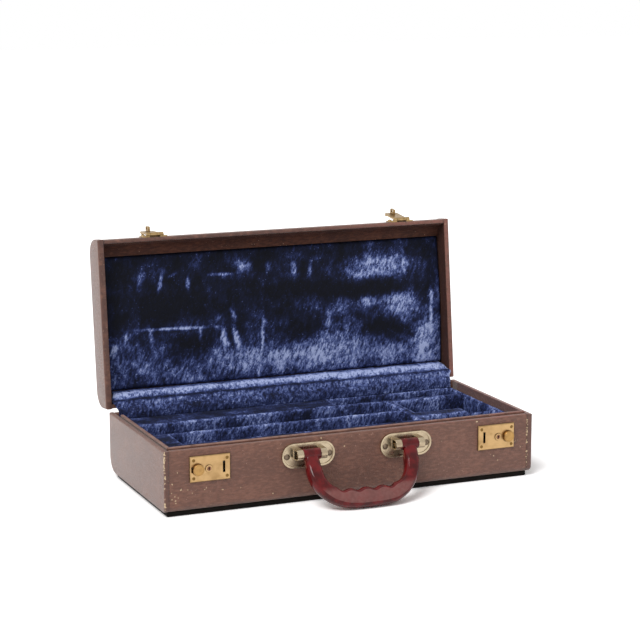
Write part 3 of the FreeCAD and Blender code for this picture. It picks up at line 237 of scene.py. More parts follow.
# lays colours over one another, each where its mask is
def layered(tree, tone, layers):
    for mask, colour in layers:
        tone = addNode(tree, "Mix", asColour, {0: mask, 6: tone, 7: colour}, 2)
    return tone


# leathercloth: cotton cloth coated and embossed with a fine pebble, so it is satin, dull in the creases,
# pale grey where light grazes it, and rubbed to the cloth at rims and corners
leather = {
    "body": "764C3C", "deep": "643F32", "fine": "865C4B", "rim": "7A5244", "rimRight": "8A5448", "bare": "D8BE98",
    "strip": "4A2D29", "dirt": "3A211B", "speckTone": "C9A48E", "haze": "E4EAEC",
    "pebble": 0.8,  # drawn about twice as coarse as it is, to show
    "pore": 0.3, "crease": 2.2, "mottle": 26, "fleck": 1.3, "speck": 3.4, "relief": 0.34,
    "stripFrom": 180.8, "seamAt": 180.5, "seamWide": 0.9, "front": -81, "rimPatch": 6, "cornerPatch": 8, "strewn": 38,
}
# bare spots on the front: across, up, radius
scuffs = [
    (-177.3, 30.9, 0.6), (-169.1, 25.4, 0.9), (-174.5, 13.1, 0.8), (-147.0, 22.9, 0.5), (-129.8, 21.0, 0.6),
    (-127.4, 7.7, 0.6), (-81.0, 11.8, 0.6), (-112.5, 20.9, 0.4), (-172.2, 41.4, 0.5), (-10.2, 49.5, 0.7),
    (-33.4, 59.4, 0.5), (126.8, 59.4, 0.9), (141.8, 60.3, 0.6), (89.3, 43.8, 0.4), (173.6, 29.7, 0.6),
    (145.1, 23.8, 0.6), (149.5, 19.4, 0.6), (166.5, 36.0, 0.6), (168.6, 36.2, 0.5), (163.0, 33.2, 0.6),
    (-145.0, 24.8, 0.4), (-146.8, 28.1, 0.35), (-141.0, 20.7, 0.4), (-154.6, 23.2, 0.35), (-158.8, 21.1, 0.35),
    (-163.0, 24.7, 0.35), (-178.3, 22.2, 0.6), (-175.0, 19.7, 0.5), (-174.5, 15.5, 0.5), (-178.8, 27.5, 0.5),
    (-177.6, 16.8, 0.35), (-172.0, 18.3, 0.35), (170.5, 36.9, 0.4), (141.5, 25.2, 0.4), (139.5, 24.4, 0.35),
]
# worn upright edges of the tub: across, depth, reach, strength
tubCorners = [(-184.6, -81.1, 2.6, 1.35), (-181, -81.5, 1.6, 0.5), (180.4, -81.5, 2.2, 1.0), (186, -81.5, 1.9, 0.8)]


def leathercloth(name, tones, rim=None, corners=(), marks=(), rough=0.42, sheen=0.42, level=0.5, strip=0.45):
    finish, tree, shader, place, normal = newFinish(
        name, Roughness=rough, IOR=1.48, Sheen_Weight=sheen, Sheen_Roughness=0.45,
        Sheen_Tint=hexColour(leather["haze"]), Specular_IOR_Level=level)
    tones = {**leather, **tones}
    deep, fine, rimTone, bareTone = (tones[key] for key in ("deep", "fine", "rim", "bare"))
    split = addNode(tree, "SeparateXYZ", None, [place], None)
    pebble = addNode(tree, "TexVoronoi", None, {"Vector": place, "Scale": 1 / (leather["pebble"] * mm)})
    pore = grain(tree, place, leather["pore"])
    crease = grain(tree, place, leather["crease"], 4, (0.42, 1, 1.2))
    mottle, light = grain(tree, place, leather["mottle"]), grain(tree, place, leather["crease"], 4)
    flecks = grain(tree, place, leather["fleck"], 2)
    layers = [
        (addNode(tree, "MapRange", smoothStep, (mottle, 0.35, 0.65)), deep),
        (addNode(tree, "MapRange", smoothStep, (light, 0.3, 0.7, 0, 0.25)), fine),
        (addNode(tree, "MapRange", smoothStep, (crease, 0.51, 0.62, 0, 0.85)), deep),
        (addNode(tree, "MapRange", smoothStep, (crease, 0.48, 0.36, 0, 0.6)), fine),
    ]
    worn = None
    if rim:  # in patches, redder to the right: rubbed on the tub, painted shade on the lid, a painted highlight on the lip
        up, reach = rim
        height = addNode(tree, "VectorMath", dotProduct, (place, up), 1)
        edge = addNode(tree, "MapRange", smoothStep, (height, reach - 1.3 * mm, reach - 0.2 * mm))
        patch = grain(tree, place, leather["rimPatch"])
        patchy = addNode(tree, "MapRange", smoothStep, (patch, 0.3, 0.62, 0, 0.8))
        toRight = addNode(tree, "MapRange", smoothStep, (split[0], -20 * mm, 175 * mm))
        rimTone = layered(tree, rimTone, [(toRight, leather["rimRight"])])
        layers.append((addNode(tree, "Math", times, (edge, patchy)), rimTone))
        worn = addNode(tree, "Math", times, (edge, 0.35))
    # the strip over each end is handled more and darker, with dirt in its seam
    away = addNode(tree, "Math", absolute, [split[0]])
    outer = addNode(tree, "Math", {"operation": "GREATER_THAN"}, (away, leather["stripFrom"] * mm))
    outward = addNode(tree, "SeparateXYZ", None, [normal], 1)
    frontal = addNode(tree, "MapRange", smoothStep, (outward, -0.5, -0.8, 0, strip))
    seam = addNode(tree, "Math", absolute, [addNode(tree, "Math", minus, (away, leather["seamAt"] * mm))])
    layers += [
        (addNode(tree, "Math", times, (outer, frontal)), leather["strip"]),
        (addNode(tree, "MapRange", smoothStep, (seam, leather["seamWide"] * mm, 0.2 * mm, 0, 0.55)), leather["dirt"]),
    ]
    if corners:
        patch = grain(tree, place, leather["cornerPatch"], 2)
        patches = addNode(tree, "MapRange", smoothStep, (patch, 0.38, 0.6))
        flat = addNode(tree, "VectorMath", times, (place, (1, 1, 0)))
    for across, depth, reach, gain in corners:
        off = addNode(tree, "VectorMath", distance, (flat, (across * mm, depth * mm, 0)), 1)
        near = addNode(tree, "MapRange", smoothStep, (off, reach * mm, 0.2 * mm, 0, gain))
        near = addNode(tree, "Math", times, (near, patches))
        worn = near if worn is None else addNode(tree, "Math", largest, (worn, near))
    if worn is not None:
        rise = addNode(tree, "Math", timesPlus, (worn, 0.3, flecks))
        bare = addNode(tree, "MapRange", smoothStep, (rise, 0.78, 0.86, 0, 1.3))
        layers.append((addNode(tree, "Math", {**times, "use_clamp": True}, (bare, worn)), bareTone))
    # pin-sized bare spots, thick in some places and missing in others
    specks = addNode(tree, "TexVoronoi", None, {"Vector": place, "Scale": 1 / (leather["speck"] * mm)})
    strewn = grain(tree, place, leather["strewn"], 1)
    strewn = addNode(tree, "MapRange", smoothStep, (strewn, 0.44, 0.6, 0, 0.1))
    spotted = addNode(tree, "Math", {"operation": "LESS_THAN"}, (specks, strewn))
    layers.append((addNode(tree, "Math", times, (spotted, 0.75)), leather["speckTone"]))
    rag = addNode(tree, "Math", timesPlus, (flecks, 3.0 * mm, -1.5 * mm))
    for across, height, radius in marks:
        centre = (across * mm, leather["front"] * mm, height * mm)
        off = addNode(tree, "Math", plus, (addNode(tree, "VectorMath", distance, (place, centre), 1), rag))
        layers.append((addNode(tree, "MapRange", smoothStep, (off, radius * mm, 0.5 * radius * mm)), bareTone))
    relief = addNode(tree, "Math", timesPlus, (pore, 0.5, addNode(tree, "Math", plus, (pebble, crease))))
    raised = addNode(tree, "Bump", None, {"Strength": 1.0, "Distance": leather["relief"] * mm, "Height": relief})
    feed(tree, shader, {"Base Color": layered(tree, tones["body"], layers), "Normal": raised})
    return finish


lidTilt = math.radians(83.8)  # the open lid stands this far from level
lidUp = Vector((0, -math.sin(lidTilt), math.cos(lidTilt)))
tubRim, lipTop = 61.5, 63.5
lidHinge = (0, 83.7, tubRim)
tubLeather = leathercloth("leatherclothTub", {}, ((0, 0, 1), tubRim * mm), tubCorners, scuffs)
# the lid's rim is painted dark in patches: painted shade
lidLeather = leathercloth(
    "leatherclothLid", {"rim": "4C2E26"}, (lidUp, lidUp.dot(Vector(lidHinge)) * mm), strip=0.1)
# inside the lid the leathercloth gets darker colours, as painted shade, and no shine
leatherPaintedShade = leathercloth(
    "leatherclothInside", {"body": "4E2C20", "deep": "3C2119", "fine": "5E3A2C"}, rough=0.55, sheen=0.04, level=0.2)
# on the lip it is darker, and its paler top is a painted highlight
lipLeather = leathercloth(
    "leatherclothLip", {"body": "6A4335", "deep": "5A382C", "fine": "7E5848", "rim": "9A7363"},
    ((0, 0, 1), lipTop * mm), sheen=0.22)


# plush: woven silk pile on cotton, navy, crushed in places so that it shows light and dark
plush = {
    "depths": ("060813", "12172E", "2B3560", "5F6EA4", "AAB6DE"), "steps": (0.0, 0.26, 0.48, 0.72, 1.0),
    "sheen": "9AA4CC", "tuft": 3.2, "lean": -24,
    "strand": 1.0, "hair": 1.3,  # single hairs are too fine to show, so these are bunches of them
    "even": 0.13, "uneven": 0.6, "relief": 0.8,
}


def plushFinish(name):
    finish, tree, shader, place, _ = newFinish(
        name, Roughness=0.75, IOR=1.5, Specular_IOR_Level=0.15, Sheen_Weight=0.06, Sheen_Roughness=0.35,
        Sheen_Tint=hexColour(plush["sheen"]))
    pile = addNode(tree, "Attribute", {"attribute_name": "pile"}, output="Fac")
    tuft = grain(tree, place, plush["tuft"], 4, (1.4, 1, 0.6), plush["lean"])
    strand = grain(tree, place, plush["strand"], 2, (1.6, 1, 0.5), plush["lean"])
    speck = addNode(tree, "Math", timesPlus, (tuft, 2.6, -2.3))
    speck = addNode(tree, "Math", timesPlus, (strand, 2.0, speck))
    # bright pile is the most uneven, dark pile lies smooth with a few stray hairs
    spread = addNode(tree, "Math", timesPlus, (pile, plush["uneven"], plush["even"]))
    stray = addNode(tree, "MapRange", smoothStep, (grain(tree, place, plush["hair"], 1), 0.66, 0.78, 0, 0.4))
    level = addNode(tree, "Math", plus, (pile, stray))
    level = addNode(tree, "Math", {**timesPlus, "use_clamp": True}, (speck, spread, level))
    colour = addNode(tree, "ValToRGB", None, [level])
    stops = colour.node.color_ramp.elements
    while len(stops) < len(plush["depths"]):
        stops.new(0.5)
    for stop, where, tone in zip(stops, plush["steps"], plush["depths"]):
        stop.position = where
        stop.color = hexColour(tone)
    height = addNode(tree, "Math", timesPlus, (strand, 0.6, tuft))
    raised = addNode(tree, "Bump", None, {"Strength": 0.8, "Distance": plush["relief"] * mm, "Height": height})
    feed(tree, shader, {"Base Color": colour, "Normal": raised})
    return finish


plushNavy = plushFinish("plushNavySilk")

# keyhole of both locks, which mirror each other: a round hole with a slot below it, painted near black on the plug as
# painted shade
keyhole = {"mirror": 2.5, "up": 0.45, "round": 0.75, "slot": 0.4, "drop": 0.95, "soft": 0.1, "holeShade": "050302"}


def keyholeShadeMask(tree, place):
    centre = sum(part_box("lock_tumbler_left"), Vector()) / 2
    split = addNode(tree, "SeparateXYZ", None, [place], None)
    fromMirror = addNode(tree, "Math", minus, (split[0], keyhole["mirror"] * mm))
    fromMirror = addNode(tree, "Math", absolute, [fromMirror])
    beside = addNode(tree, "Math", minus, (fromMirror, keyhole["mirror"] * mm - centre.x))
    above = addNode(tree, "Math", minus, (split[2], centre.z + keyhole["up"] * mm))
    fromHole = addNode(tree, "CombineXYZ", None, (beside, 0, above))
    away = addNode(tree, "VectorMath", {"operation": "LENGTH"}, [fromHole], 1)
    below = addNode(tree, "Math", plus, (above, keyhole["drop"] * mm))
    inside = []
    for off, reach in (
            (away, "round"), (addNode(tree, "Math", absolute, [beside]), "slot"),
            (addNode(tree, "Math", absolute, [below]), "drop")):
        limits = ((keyhole[reach] + keyhole["soft"]) * mm, keyhole[reach] * mm)
        inside.append(addNode(tree, "MapRange", smoothStep, (off, *limits)))
    return addNode(tree, "Math", largest, (inside[0], addNode(tree, "Math", times, inside[1:])))


# metal, dulled in patches and scratched finely, and darker in its corners: partly dirt, partly painted shade
metal = {
    "scratch": 0.6,  # drawn coarser than real ones, to show
    "scratchDeep": 0.05, "scratched": 0.25, "dulled": 0.55, "duller": 0.12, "behindTone": "0A0704",
}


def metalFinish(name, tones, rough, patch, brushed=(1, 1, 1), dirt=(0.35, 0.85), edge=0.3, reach=1.3,
                inside=None, sideShade=0.0, keyed=False):
    finish, tree, shader, place, normal = newFinish(name, Metallic=1.0)
    bright, dull, grimeAndShade = tones
    stain = addNode(tree, "MapRange", smoothStep, (grain(tree, place, patch, 5), 0.4, 0.75))
    scratch = grain(tree, place, metal["scratch"], 2, brushed)
    # darker where the surface is hemmed in: dirt and painted shade
    hollow = addNode(tree, "AmbientOcclusion", {"samples": 8}, {"Distance": reach * mm}, "AO")
    layers = [
        (addNode(tree, "Math", times, (stain, metal["dulled"])), dull),
        (addNode(tree, "MapRange", smoothStep, (scratch, 0.5, 0.8, 0, metal["scratched"])), dull),
        (addNode(tree, "MapRange", smoothStep, (hollow, dirt[1], dirt[0])), grimeAndShade),
    ]
    if sideShade:  # painted shade: the narrow sides are darker
        outward = addNode(tree, "SeparateXYZ", None, [normal], 1)
        layers.append((addNode(tree, "MapRange", smoothStep, (outward, -0.85, -0.4, 0, sideShade)), grimeAndShade))
    if inside is not None:  # near black behind the plates
        back = addNode(tree, "SeparateXYZ", None, [place], 1)
        behindMask = addNode(tree, "MapRange", smoothStep, (back, inside * mm, (inside + 0.5) * mm))
        layers.append((behindMask, metal["behindTone"]))
    if keyed:
        # painted shade: the keyhole drawn near black on the plug
        layers.append((keyholeShadeMask(tree, place), keyhole["holeShade"]))
    rounded = addNode(tree, "Bevel", {"samples": 6}, {"Radius": edge * mm})
    relief = {"Strength": 0.15, "Distance": metal["scratchDeep"] * mm, "Height": scratch, "Normal": rounded}
    feed(tree, shader, {
        "Base Color": layered(tree, bright, layers),
        "Roughness": addNode(tree, "Math", timesPlus, (stain, metal["duller"], rough)),
        "Normal": addNode(tree, "Bump", None, relief),
    })
    return finish


# stamped brass under old lacquer: warm and satin, its edges browned with painted shade
lockBrass = metalFinish(
    "brassLacquered", ("BD9B6D", "84663F", "44290F"), rough=0.3, patch=12, brushed=(0.15, 1, 1.6),
    dirt=(0.4, 0.95), reach=1.8, inside=-81.4, sideShade=0.75)
# turned brass that is handled: bare and evenly worn
knobBrass = metalFinish(
    "brassHandled", ("B08A55", "87673F", "40290F"), rough=0.34, patch=5, dirt=(0.4, 0.95), edge=0.4, reach=1.6,
    inside=-81.4)
# turned brass that keys have scratched: brown and dull
plugBrass = metalFinish(
    "brassKeyPlug", ("8E6650", "5C3F30", "1A0F07"), rough=0.42, patch=2, dirt=(0.3, 0.8), edge=0.2, reach=1.2,
    keyed=True)
# small brass screws, never polished: darker than their plates
screwBrass = metalFinish(
    "brassScrew", ("7E6136", "4A371C", "20140A"), rough=0.36, patch=1.5, dirt=(0.5, 1.0), edge=0.2, reach=1.2)
# stamped brass without lacquer: tarnished to olive brown in patches
hingeBrass = metalFinish("brassTarnished", ("AC9065", "6A5532", "2A1F0D"), rough=0.34, patch=3)
# stamped brass, plated and worn through: champagne, darker in its hollows as painted shade
bracketBrass = metalFinish(
    "brassPaleWorn", ("B6A68C", "94806A", "544534"), rough=0.24, patch=7, brushed=(0.3, 1, 1), dirt=(0.1, 0.5),
    edge=0.4, reach=2.4)
# steel rivets, rusted thinly: grey brown, no shine
rivetGrey = metalFinish("rivetDulled", ("7C6C5C", "574A3F", "3A3028"), rough=0.5, patch=1.5)
# drawn and pressed steel: grey, dull, darker in patches
steelDull = metalFinish("steelDulled", ("B4AFA6", "7C776E", "3A3630"), rough=0.32, patch=3.0)

# handle: moulded plastic, burgundy, polished by use on the arms, rubbed dull on the face of the grip, where its greyish
# tone is partly wear and partly a painted reflection
grip = {
    "body": "691013", "deep": "450708", "rubbedAndReflection": "7C534F", "gloss": 0.08, "dull": 0.5,
    "swirl": 9, "rub": 3, "skin": 1.4, "skinDeep": 0.05,
    "pivot": (2.5, -89, 47.5), "tilt": -36.6, "rubTilt": 10, "rubFrom": (35, 42),
    "steps": 84, "section": (9.4, 6.5), "corner": 5.4,
    "waves": 4, "wavePitch": 16.4, "waveDeep": 2.4, "waveMiddle": -6.5,
    "arm": 49.2, "barrel": 5.3, "barrelLong": 17, "barrelRound": 0.5, "bore": 2.7, "boreLong": 20,
    # across, up, turn of the section, half width, half thickness
    "line": [
        (-49.6, 1, 0, 6.6, 3.6), (-49.8, -4, 1, 6.8, 3.8), (-50.3, -10, 2, 7.1, 5.2), (-50.7, -16, 3, 7.3, 6.2),
        (-50.3, -22, 6, 7.3, 6.5), (-48.9, -29, 20, 7.0, 6.5), (-43.8, -37.2, 44, 6.9, 6.5),
        (-36.9, -42.6, 62, 7.6, 6.5), (-27.8, -46.0, 82, 8.5, 6.5), (-16, -47, 89, 9.3, 6.5),
        (-3, -47.1, 90, 9.4, 6.5), (11, -47, 91, 9.3, 6.5), (22.2, -46.0, 98, 8.6, 6.5),
        (31.6, -42.2, 118, 7.3, 6.5), (37.9, -36.8, 138, 6.7, 6.5), (43.3, -29.0, 159, 6.7, 6.5),
        (46.1, -21, 171, 6.9, 6.5), (47.2, -15, 173, 6.9, 6.1), (48.2, -9, 174, 6.8, 5.0),
        (48.9, -4, 178, 6.7, 3.8), (49.2, 1, 180, 6.6, 3.6),
    ],
}
handlePlastic, tree, shader, place, normal = newFinish("mouldedBurgundyPlastic", IOR=1.5, Specular_IOR_Level=0.25)
lean, rubTilt = math.radians(grip["tilt"]), math.radians(grip["rubTilt"])
front, hang = Vector((0, -math.cos(lean), -math.sin(lean))), Vector((0, math.sin(lean), -math.cos(lean)))
frontal = addNode(tree, "VectorMath", dotProduct, (normal, front * math.cos(rubTilt) + hang * math.sin(rubTilt)), 1)
frontal = addNode(tree, "MapRange", smoothStep, (frontal, 0.875, 0.925))
drop = addNode(tree, "VectorMath", dotProduct, (place, hang), 1)
start = hang.dot(Vector(grip["pivot"])) * mm
drop = addNode(tree, "MapRange", smoothStep, (drop, *(start + reach * mm for reach in grip["rubFrom"])))
rub = addNode(tree, "MapRange", smoothStep, (grain(tree, place, grip["rub"], 5), 0.3, 0.75))
uneven = addNode(tree, "Math", timesPlus, (rub, 0.3, 0.62))
# the greyish tone on the grip's face: partly wear, partly a painted reflection
worn = addNode(tree, "Math", times, (addNode(tree, "Math", times, (frontal, drop)), uneven))
swirl = addNode(tree, "MapRange", smoothStep, (grain(tree, place, grip["swirl"]), 0.35, 0.65))
skin = {"Strength": 0.1, "Distance": grip["skinDeep"] * mm, "Height": grain(tree, place, grip["skin"], 4)}
shine = addNode(tree, "Math", timesPlus, (rub, 0.06, grip["gloss"]))
feed(tree, shader, {
    "Base Color": layered(tree, grip["body"], [(swirl, grip["deep"]), (worn, grip["rubbedAndReflection"])]),
    "Roughness": addNode(tree, "Math", timesPlus, (worn, grip["dull"] - grip["gloss"], shine)),
    "Normal": addNode(tree, "Bump", None, skin),
})

# base: fibre board with brush marks, coloured near black as painted shade under the case, flat and nearly without a
# shine
shadeBoard = {"thick": "0C0A09", "thin": "1C1815", "patch": 5, "brushMark": 0.8, "relief": 0.1}
shadeBoardFinish, tree, shader, place, _ = newFinish("boardPaintedShade", Roughness=0.8, Specular_IOR_Level=0.1)
brushed = {"Strength": 0.3, "Distance": shadeBoard["relief"] * mm, "Height": grain(tree, place, shadeBoard["brushMark"], 4)}
feed(tree, shader, {
    "Base Color": layered(tree, shadeBoard["thick"], [(grain(tree, place, shadeBoard["patch"]), shadeBoard["thin"])]),
    "Normal": addNode(tree, "Bump", None, brushed),
})
print("materials made")


# tub and lid: bent board wrapped in leathercloth, with a cap on each end that stands a little proud
tub = {
    "half": 180.4, "cap": 186.2, "capLeft": 185, "front": -81, "rear": 81, "low": 4.5, "rim": tubRim, "wall": 4.8,
    "bend": 16, "foot": 6,
}
lid = {
    "half": 181, "cap": 186.2, "capLeft": 186.8, "front": 164.7, "rear": 2.7, "low": -30, "rim": -0.1, "wall": 4.0,
    "bend": 16, "foot": 16,
}
board = {"proud": 0.5, "rimRound": 1.3, "endRound": 1.6, "turnIn": 0.35, "pocket": 0.2, "pocketOut": 2}


def wrapTray(name, sizes, near, far):
    piece = addBlock(name, (-sizes["half"], near, sizes["low"]), (sizes["half"], far, sizes["rim"]))
    roundEdges(piece, edgeAt(1, far, 2, sizes["low"]), sizes["bend"], 12)
    roundEdges(piece, edgeAt(1, near, 2, sizes["low"]), sizes["foot"], 8)
    work(piece, "FACE", lambda face: abs(face.normal.x) > 0.9 or face.normal.z > 0.9, bpy.ops.mesh.delete, type="FACE")
    modify(piece, "SOLIDIFY", thickness=sizes["wall"] * mm, offset=-1, use_even_offset=True)
    roundEdges(piece, edgeAt(2, sizes["rim"], reach=0.2), board["rimRound"], 5)
    return piece


def capEnd(name, sizes, side, near, far):
    outer, inner = sizes["cap"] if side > 0 else -sizes["capLeft"], side * sizes["half"]
    ends = sorted((inner, outer))
    near, far = near - board["proud"], far + board["proud"]
    piece = addBlock(name, (ends[0], near, sizes["low"]), (ends[1], far, sizes["rim"]))
    roundEdges(piece, edgeAt(1, far, 2, sizes["low"]), sizes["bend"], 12)
    roundEdges(piece, edgeAt(1, near, 2, sizes["low"]), sizes["foot"], 8)
    roundEdges(piece, edgeAt(0, outer), board["endRound"], 5)
    atInner, atLow = edgeAt(0, inner), edgeAt(2, sizes["low"])
    roundEdges(piece, lambda edge: atInner(edge) and not atLow(edge), board["turnIn"], 2)
    return piece


def openOut(piece):
    piece.matrix_world = Matrix.Translation(Vector(lidHinge) * mm) @ Matrix.Rotation(lidTilt, 4, "X")
    return bakePlace(piece)


tubWrap = wrapTray("tubWrap", tub, tub["front"], tub["rear"])
for side in ("left", "right"):  # pockets for the lock housings
    low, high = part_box("lock_case_" + side)
    gap, out = board["pocket"], board["pocketOut"]
    cutter = addBlock("pocket", (low / mm) - Vector((gap, out, gap)), (high / mm) + Vector((gap, gap, gap)))
    combine(tubWrap, cutter, "DIFFERENCE")
smooth(tubWrap)
finishPiece(tubWrap, tubLeather, "tub", ("tub_shell", "tub_covering"))
lidWrap = wrapTray("lidWrap", lid, lid["rear"], lid["front"])
smooth(openOut(lidWrap))
finishPiece(lidWrap, lidLeather, "lid", ("lid_shell", "lid_covering"))
for side, sign in (("left", -1), ("right", 1)):
    cap = capEnd("tubEnd_" + side, tub, sign, tub["front"], tub["rear"])
    smooth(cap)
    finishPiece(cap, tubLeather, "tub", ("tub_end_" + side, "tub_end_covering_" + side))
    cap = capEnd("lidEnd_" + side, lid, sign, lid["rear"], lid["front"])
    smooth(openOut(cap))
    finishPiece(cap, lidLeather, "lid", ("lid_end_" + side, "lid_end_covering_" + side))
print("boards wrapped")


# plush surfaces: a grid laid over the form, moved point by point
def addGrid(name, columns, rows):
    clearSelection()
    bpy.ops.mesh.primitive_grid_add(x_subdivisions=columns, y_subdivisions=rows, size=1)
    piece = nameNew(name)
    points = np.zeros(len(piece.data.vertices) * 3)
    piece.data.vertices.foreach_get("co", points)
    return piece, points.reshape(-1, 3)


# puts the points in place and keeps how far the pile is brushed up at each
def shapeGrid(piece, across, deep, high, pile):
    piece.data.vertices.foreach_set("co", (np.stack([across, deep, high], axis=1) * mm).ravel())
    piece.data.attributes.new("pile", "FLOAT", "POINT").data.foreach_set("value", pile.astype(np.float32))
    piece.data.update()


def plushField(name, acrossList, deepList, height, floor):
    columns, rows = len(acrossList) - 1, len(deepList) - 1
    piece, points = addGrid(name, columns, rows)
    column = np.rint((points[:, 0] + 0.5) * columns).astype(int)
    row = np.rint((points[:, 1] + 0.5) * rows).astype(int)
    across, deep = np.array(acrossList)[column], np.array(deepList)[row]
    shapeGrid(piece, across, deep, *height(across, deep))
    # the border goes straight down and the underside is closed
    makeActive(piece)
    bpy.ops.object.mode_set(mode="EDIT")
    bpy.ops.mesh.select_mode(type="EDGE")
    bpy.ops.mesh.select_all(action="DESELECT")
    bpy.ops.mesh.select_non_manifold()
    bpy.ops.mesh.extrude_edges_move()
    bpy.ops.transform.resize(value=(1, 1, 0), center_override=(0, 0, floor * mm))
    bpy.ops.mesh.fill()
    turnOutward(piece)
    smoothAll(piece)
    return piece


def ripple(across, deep, size, seed, stretch=(1, 1)):
    spots = zip(across / (size * stretch[0]), deep / (size * stretch[1]))
    return np.array([noise.noise(Vector((a, b, seed))) for a, b in spots])


# adds up ripples, each a strength, a size in millimetres, a seed and a stretch
def rippled(across, deep, ripples):
    return sum(gain * ripple(across, deep, *shape) for gain, *shape in ripples)


# how far a rolled edge of this radius drops, at a place so far inside it
def rolledEdge(away, radius):
    fold = np.clip(radius - away, 0, radius)
    return radius - np.sqrt(np.clip(radius ** 2 - fold ** 2, 0, None))


def inward(across, deep, low, high):
    return np.minimum(np.minimum(across - low[0], high[0] - across), np.minimum(deep - low[1], high[1] - deep))


# grid lines that lie close together at the edges of the wells
def linesFor(low, high, step, edges, reach=3.2, close=0.45):
    lines = list(np.arange(low, high, step)) + [high]
    for edge in edges:
        lines += list(np.arange(edge - reach, edge + reach, close))
    kept = []
    for line in sorted(line for line in lines if low <= line <= high):
        if not kept or line - kept[-1] > 0.3:
            kept.append(line)
    kept[-1] = high
    return kept


# linings of the tub, with wells for what the case carries
lining = {
    "low": (-177.1, -73.1), "high": (177.1, 72.6), "top": 56.5, "floor": 12.8, "step": 2.4, "lip": 3.0, "set": 1.5,
    "wall": 0.9, "roll": 2.2, "slack": 0.35, "pile": 0.3, "edgeHighlight": 0.3, "edgeHighlightWide": 2.2,
    "ripples": [(0.26, 22, 4.1), (0.22, 7, 8.3, (1.6, 1))], "swell": (14, 1.5),
    "bed": ((-177.1, -73.1, 9.6), (177.1, 64, 12.8)), "bedRound": 0.6,
    # corners and floor of each well
    "wells": [
        ((-150, -38), (84, -4), 38.5), ((-165, 4), (86, 38), 38.5), ((40, 47), (172, 68), 40.5),
        ((98, -64), (172, -32), 38.5), ((98, -10), (172.5, 34), 28.5), ((146, -28), (172.5, 38), 16.5),
    ],
}


def liningHeight(across, deep):
    drop, edgeShine = np.zeros(len(across)), np.zeros(len(across))
    for low, high, floor in lining["wells"]:
        away = -inward(across, deep, low, high) - lining["set"]  # from the well's edge, outwards
        wall = np.clip(-away / lining["wall"], 0, 1)
        depth = lining["lip"] + wall * (lining["top"] - floor - lining["lip"])
        drop = np.maximum(drop, np.where(away > 0, rolledEdge(away, lining["lip"]), depth))
        # painted highlight: brighter pile along the rolled edge of each well
        brushed = np.exp(-((away - lining["set"]) / lining["edgeHighlightWide"]) ** 2) * lining["edgeHighlight"]
        edgeShine = np.maximum(edgeShine, brushed)
    drop = np.maximum(drop, rolledEdge(inward(across, deep, lining["low"], lining["high"]), lining["roll"]))
    slack = lining["slack"] * (1 + ripple(across, deep, *lining["swell"]))
    pile = lining["pile"] + edgeShine + rippled(across, deep, lining["ripples"])
    return lining["top"] - drop - slack, np.clip(pile, 0.1, 1)


def wellEdges(axis):
    pairs = [(low[axis] - lining["set"], high[axis] + lining["set"]) for low, high, _ in lining["wells"]]
    return sorted({edge for pair in pairs for edge in pair})


acrossLines, deepLines = (
    linesFor(lining["low"][axis], lining["high"][axis], lining["step"], wellEdges(axis)) for axis in (0, 1))
tubPlush = plushField("tubPlush", acrossLines, deepLines, liningHeight, lining["floor"])
finishPiece(tubPlush, plushNavy, "tub", ("lining_left", "lining_rear", "lining_right"))

bedPlush = addBlock("bedPlush", *lining["bed"])
roundEdges(bedPlush, lambda edge: True, lining["bedRound"], 2)
finishPiece(bedPlush, plushNavy, "tub", ("lining_floor",))
print("tub lined", len(tubPlush.data.polygons), "faces")


# pad of the lid, crowned, with the marks that what lay in the case has pressed into its pile
pad = {
    "half": 180.2, "near": 17.9, "far": 147.2, "floor": -25.6, "top": -14.6, "crown": 2.9, "lip": 3.5, "step": 1.25,
    "slack": 0.3, "pile": 0.17, "pileRight": 0.11, "paintedLightLow": 0.32, "lowFrom": 66, "lowOver": 62, "dented": 0.5,
    "ripples": [(0.22, 24, 3.3), (0.16, 11, 7.3), (0.16, 5, 6.1, (1, 1.6))], "swells": [(0.25, 9, 2.2)],
    "ragged": [(0.35, 4, 9.9)],
}
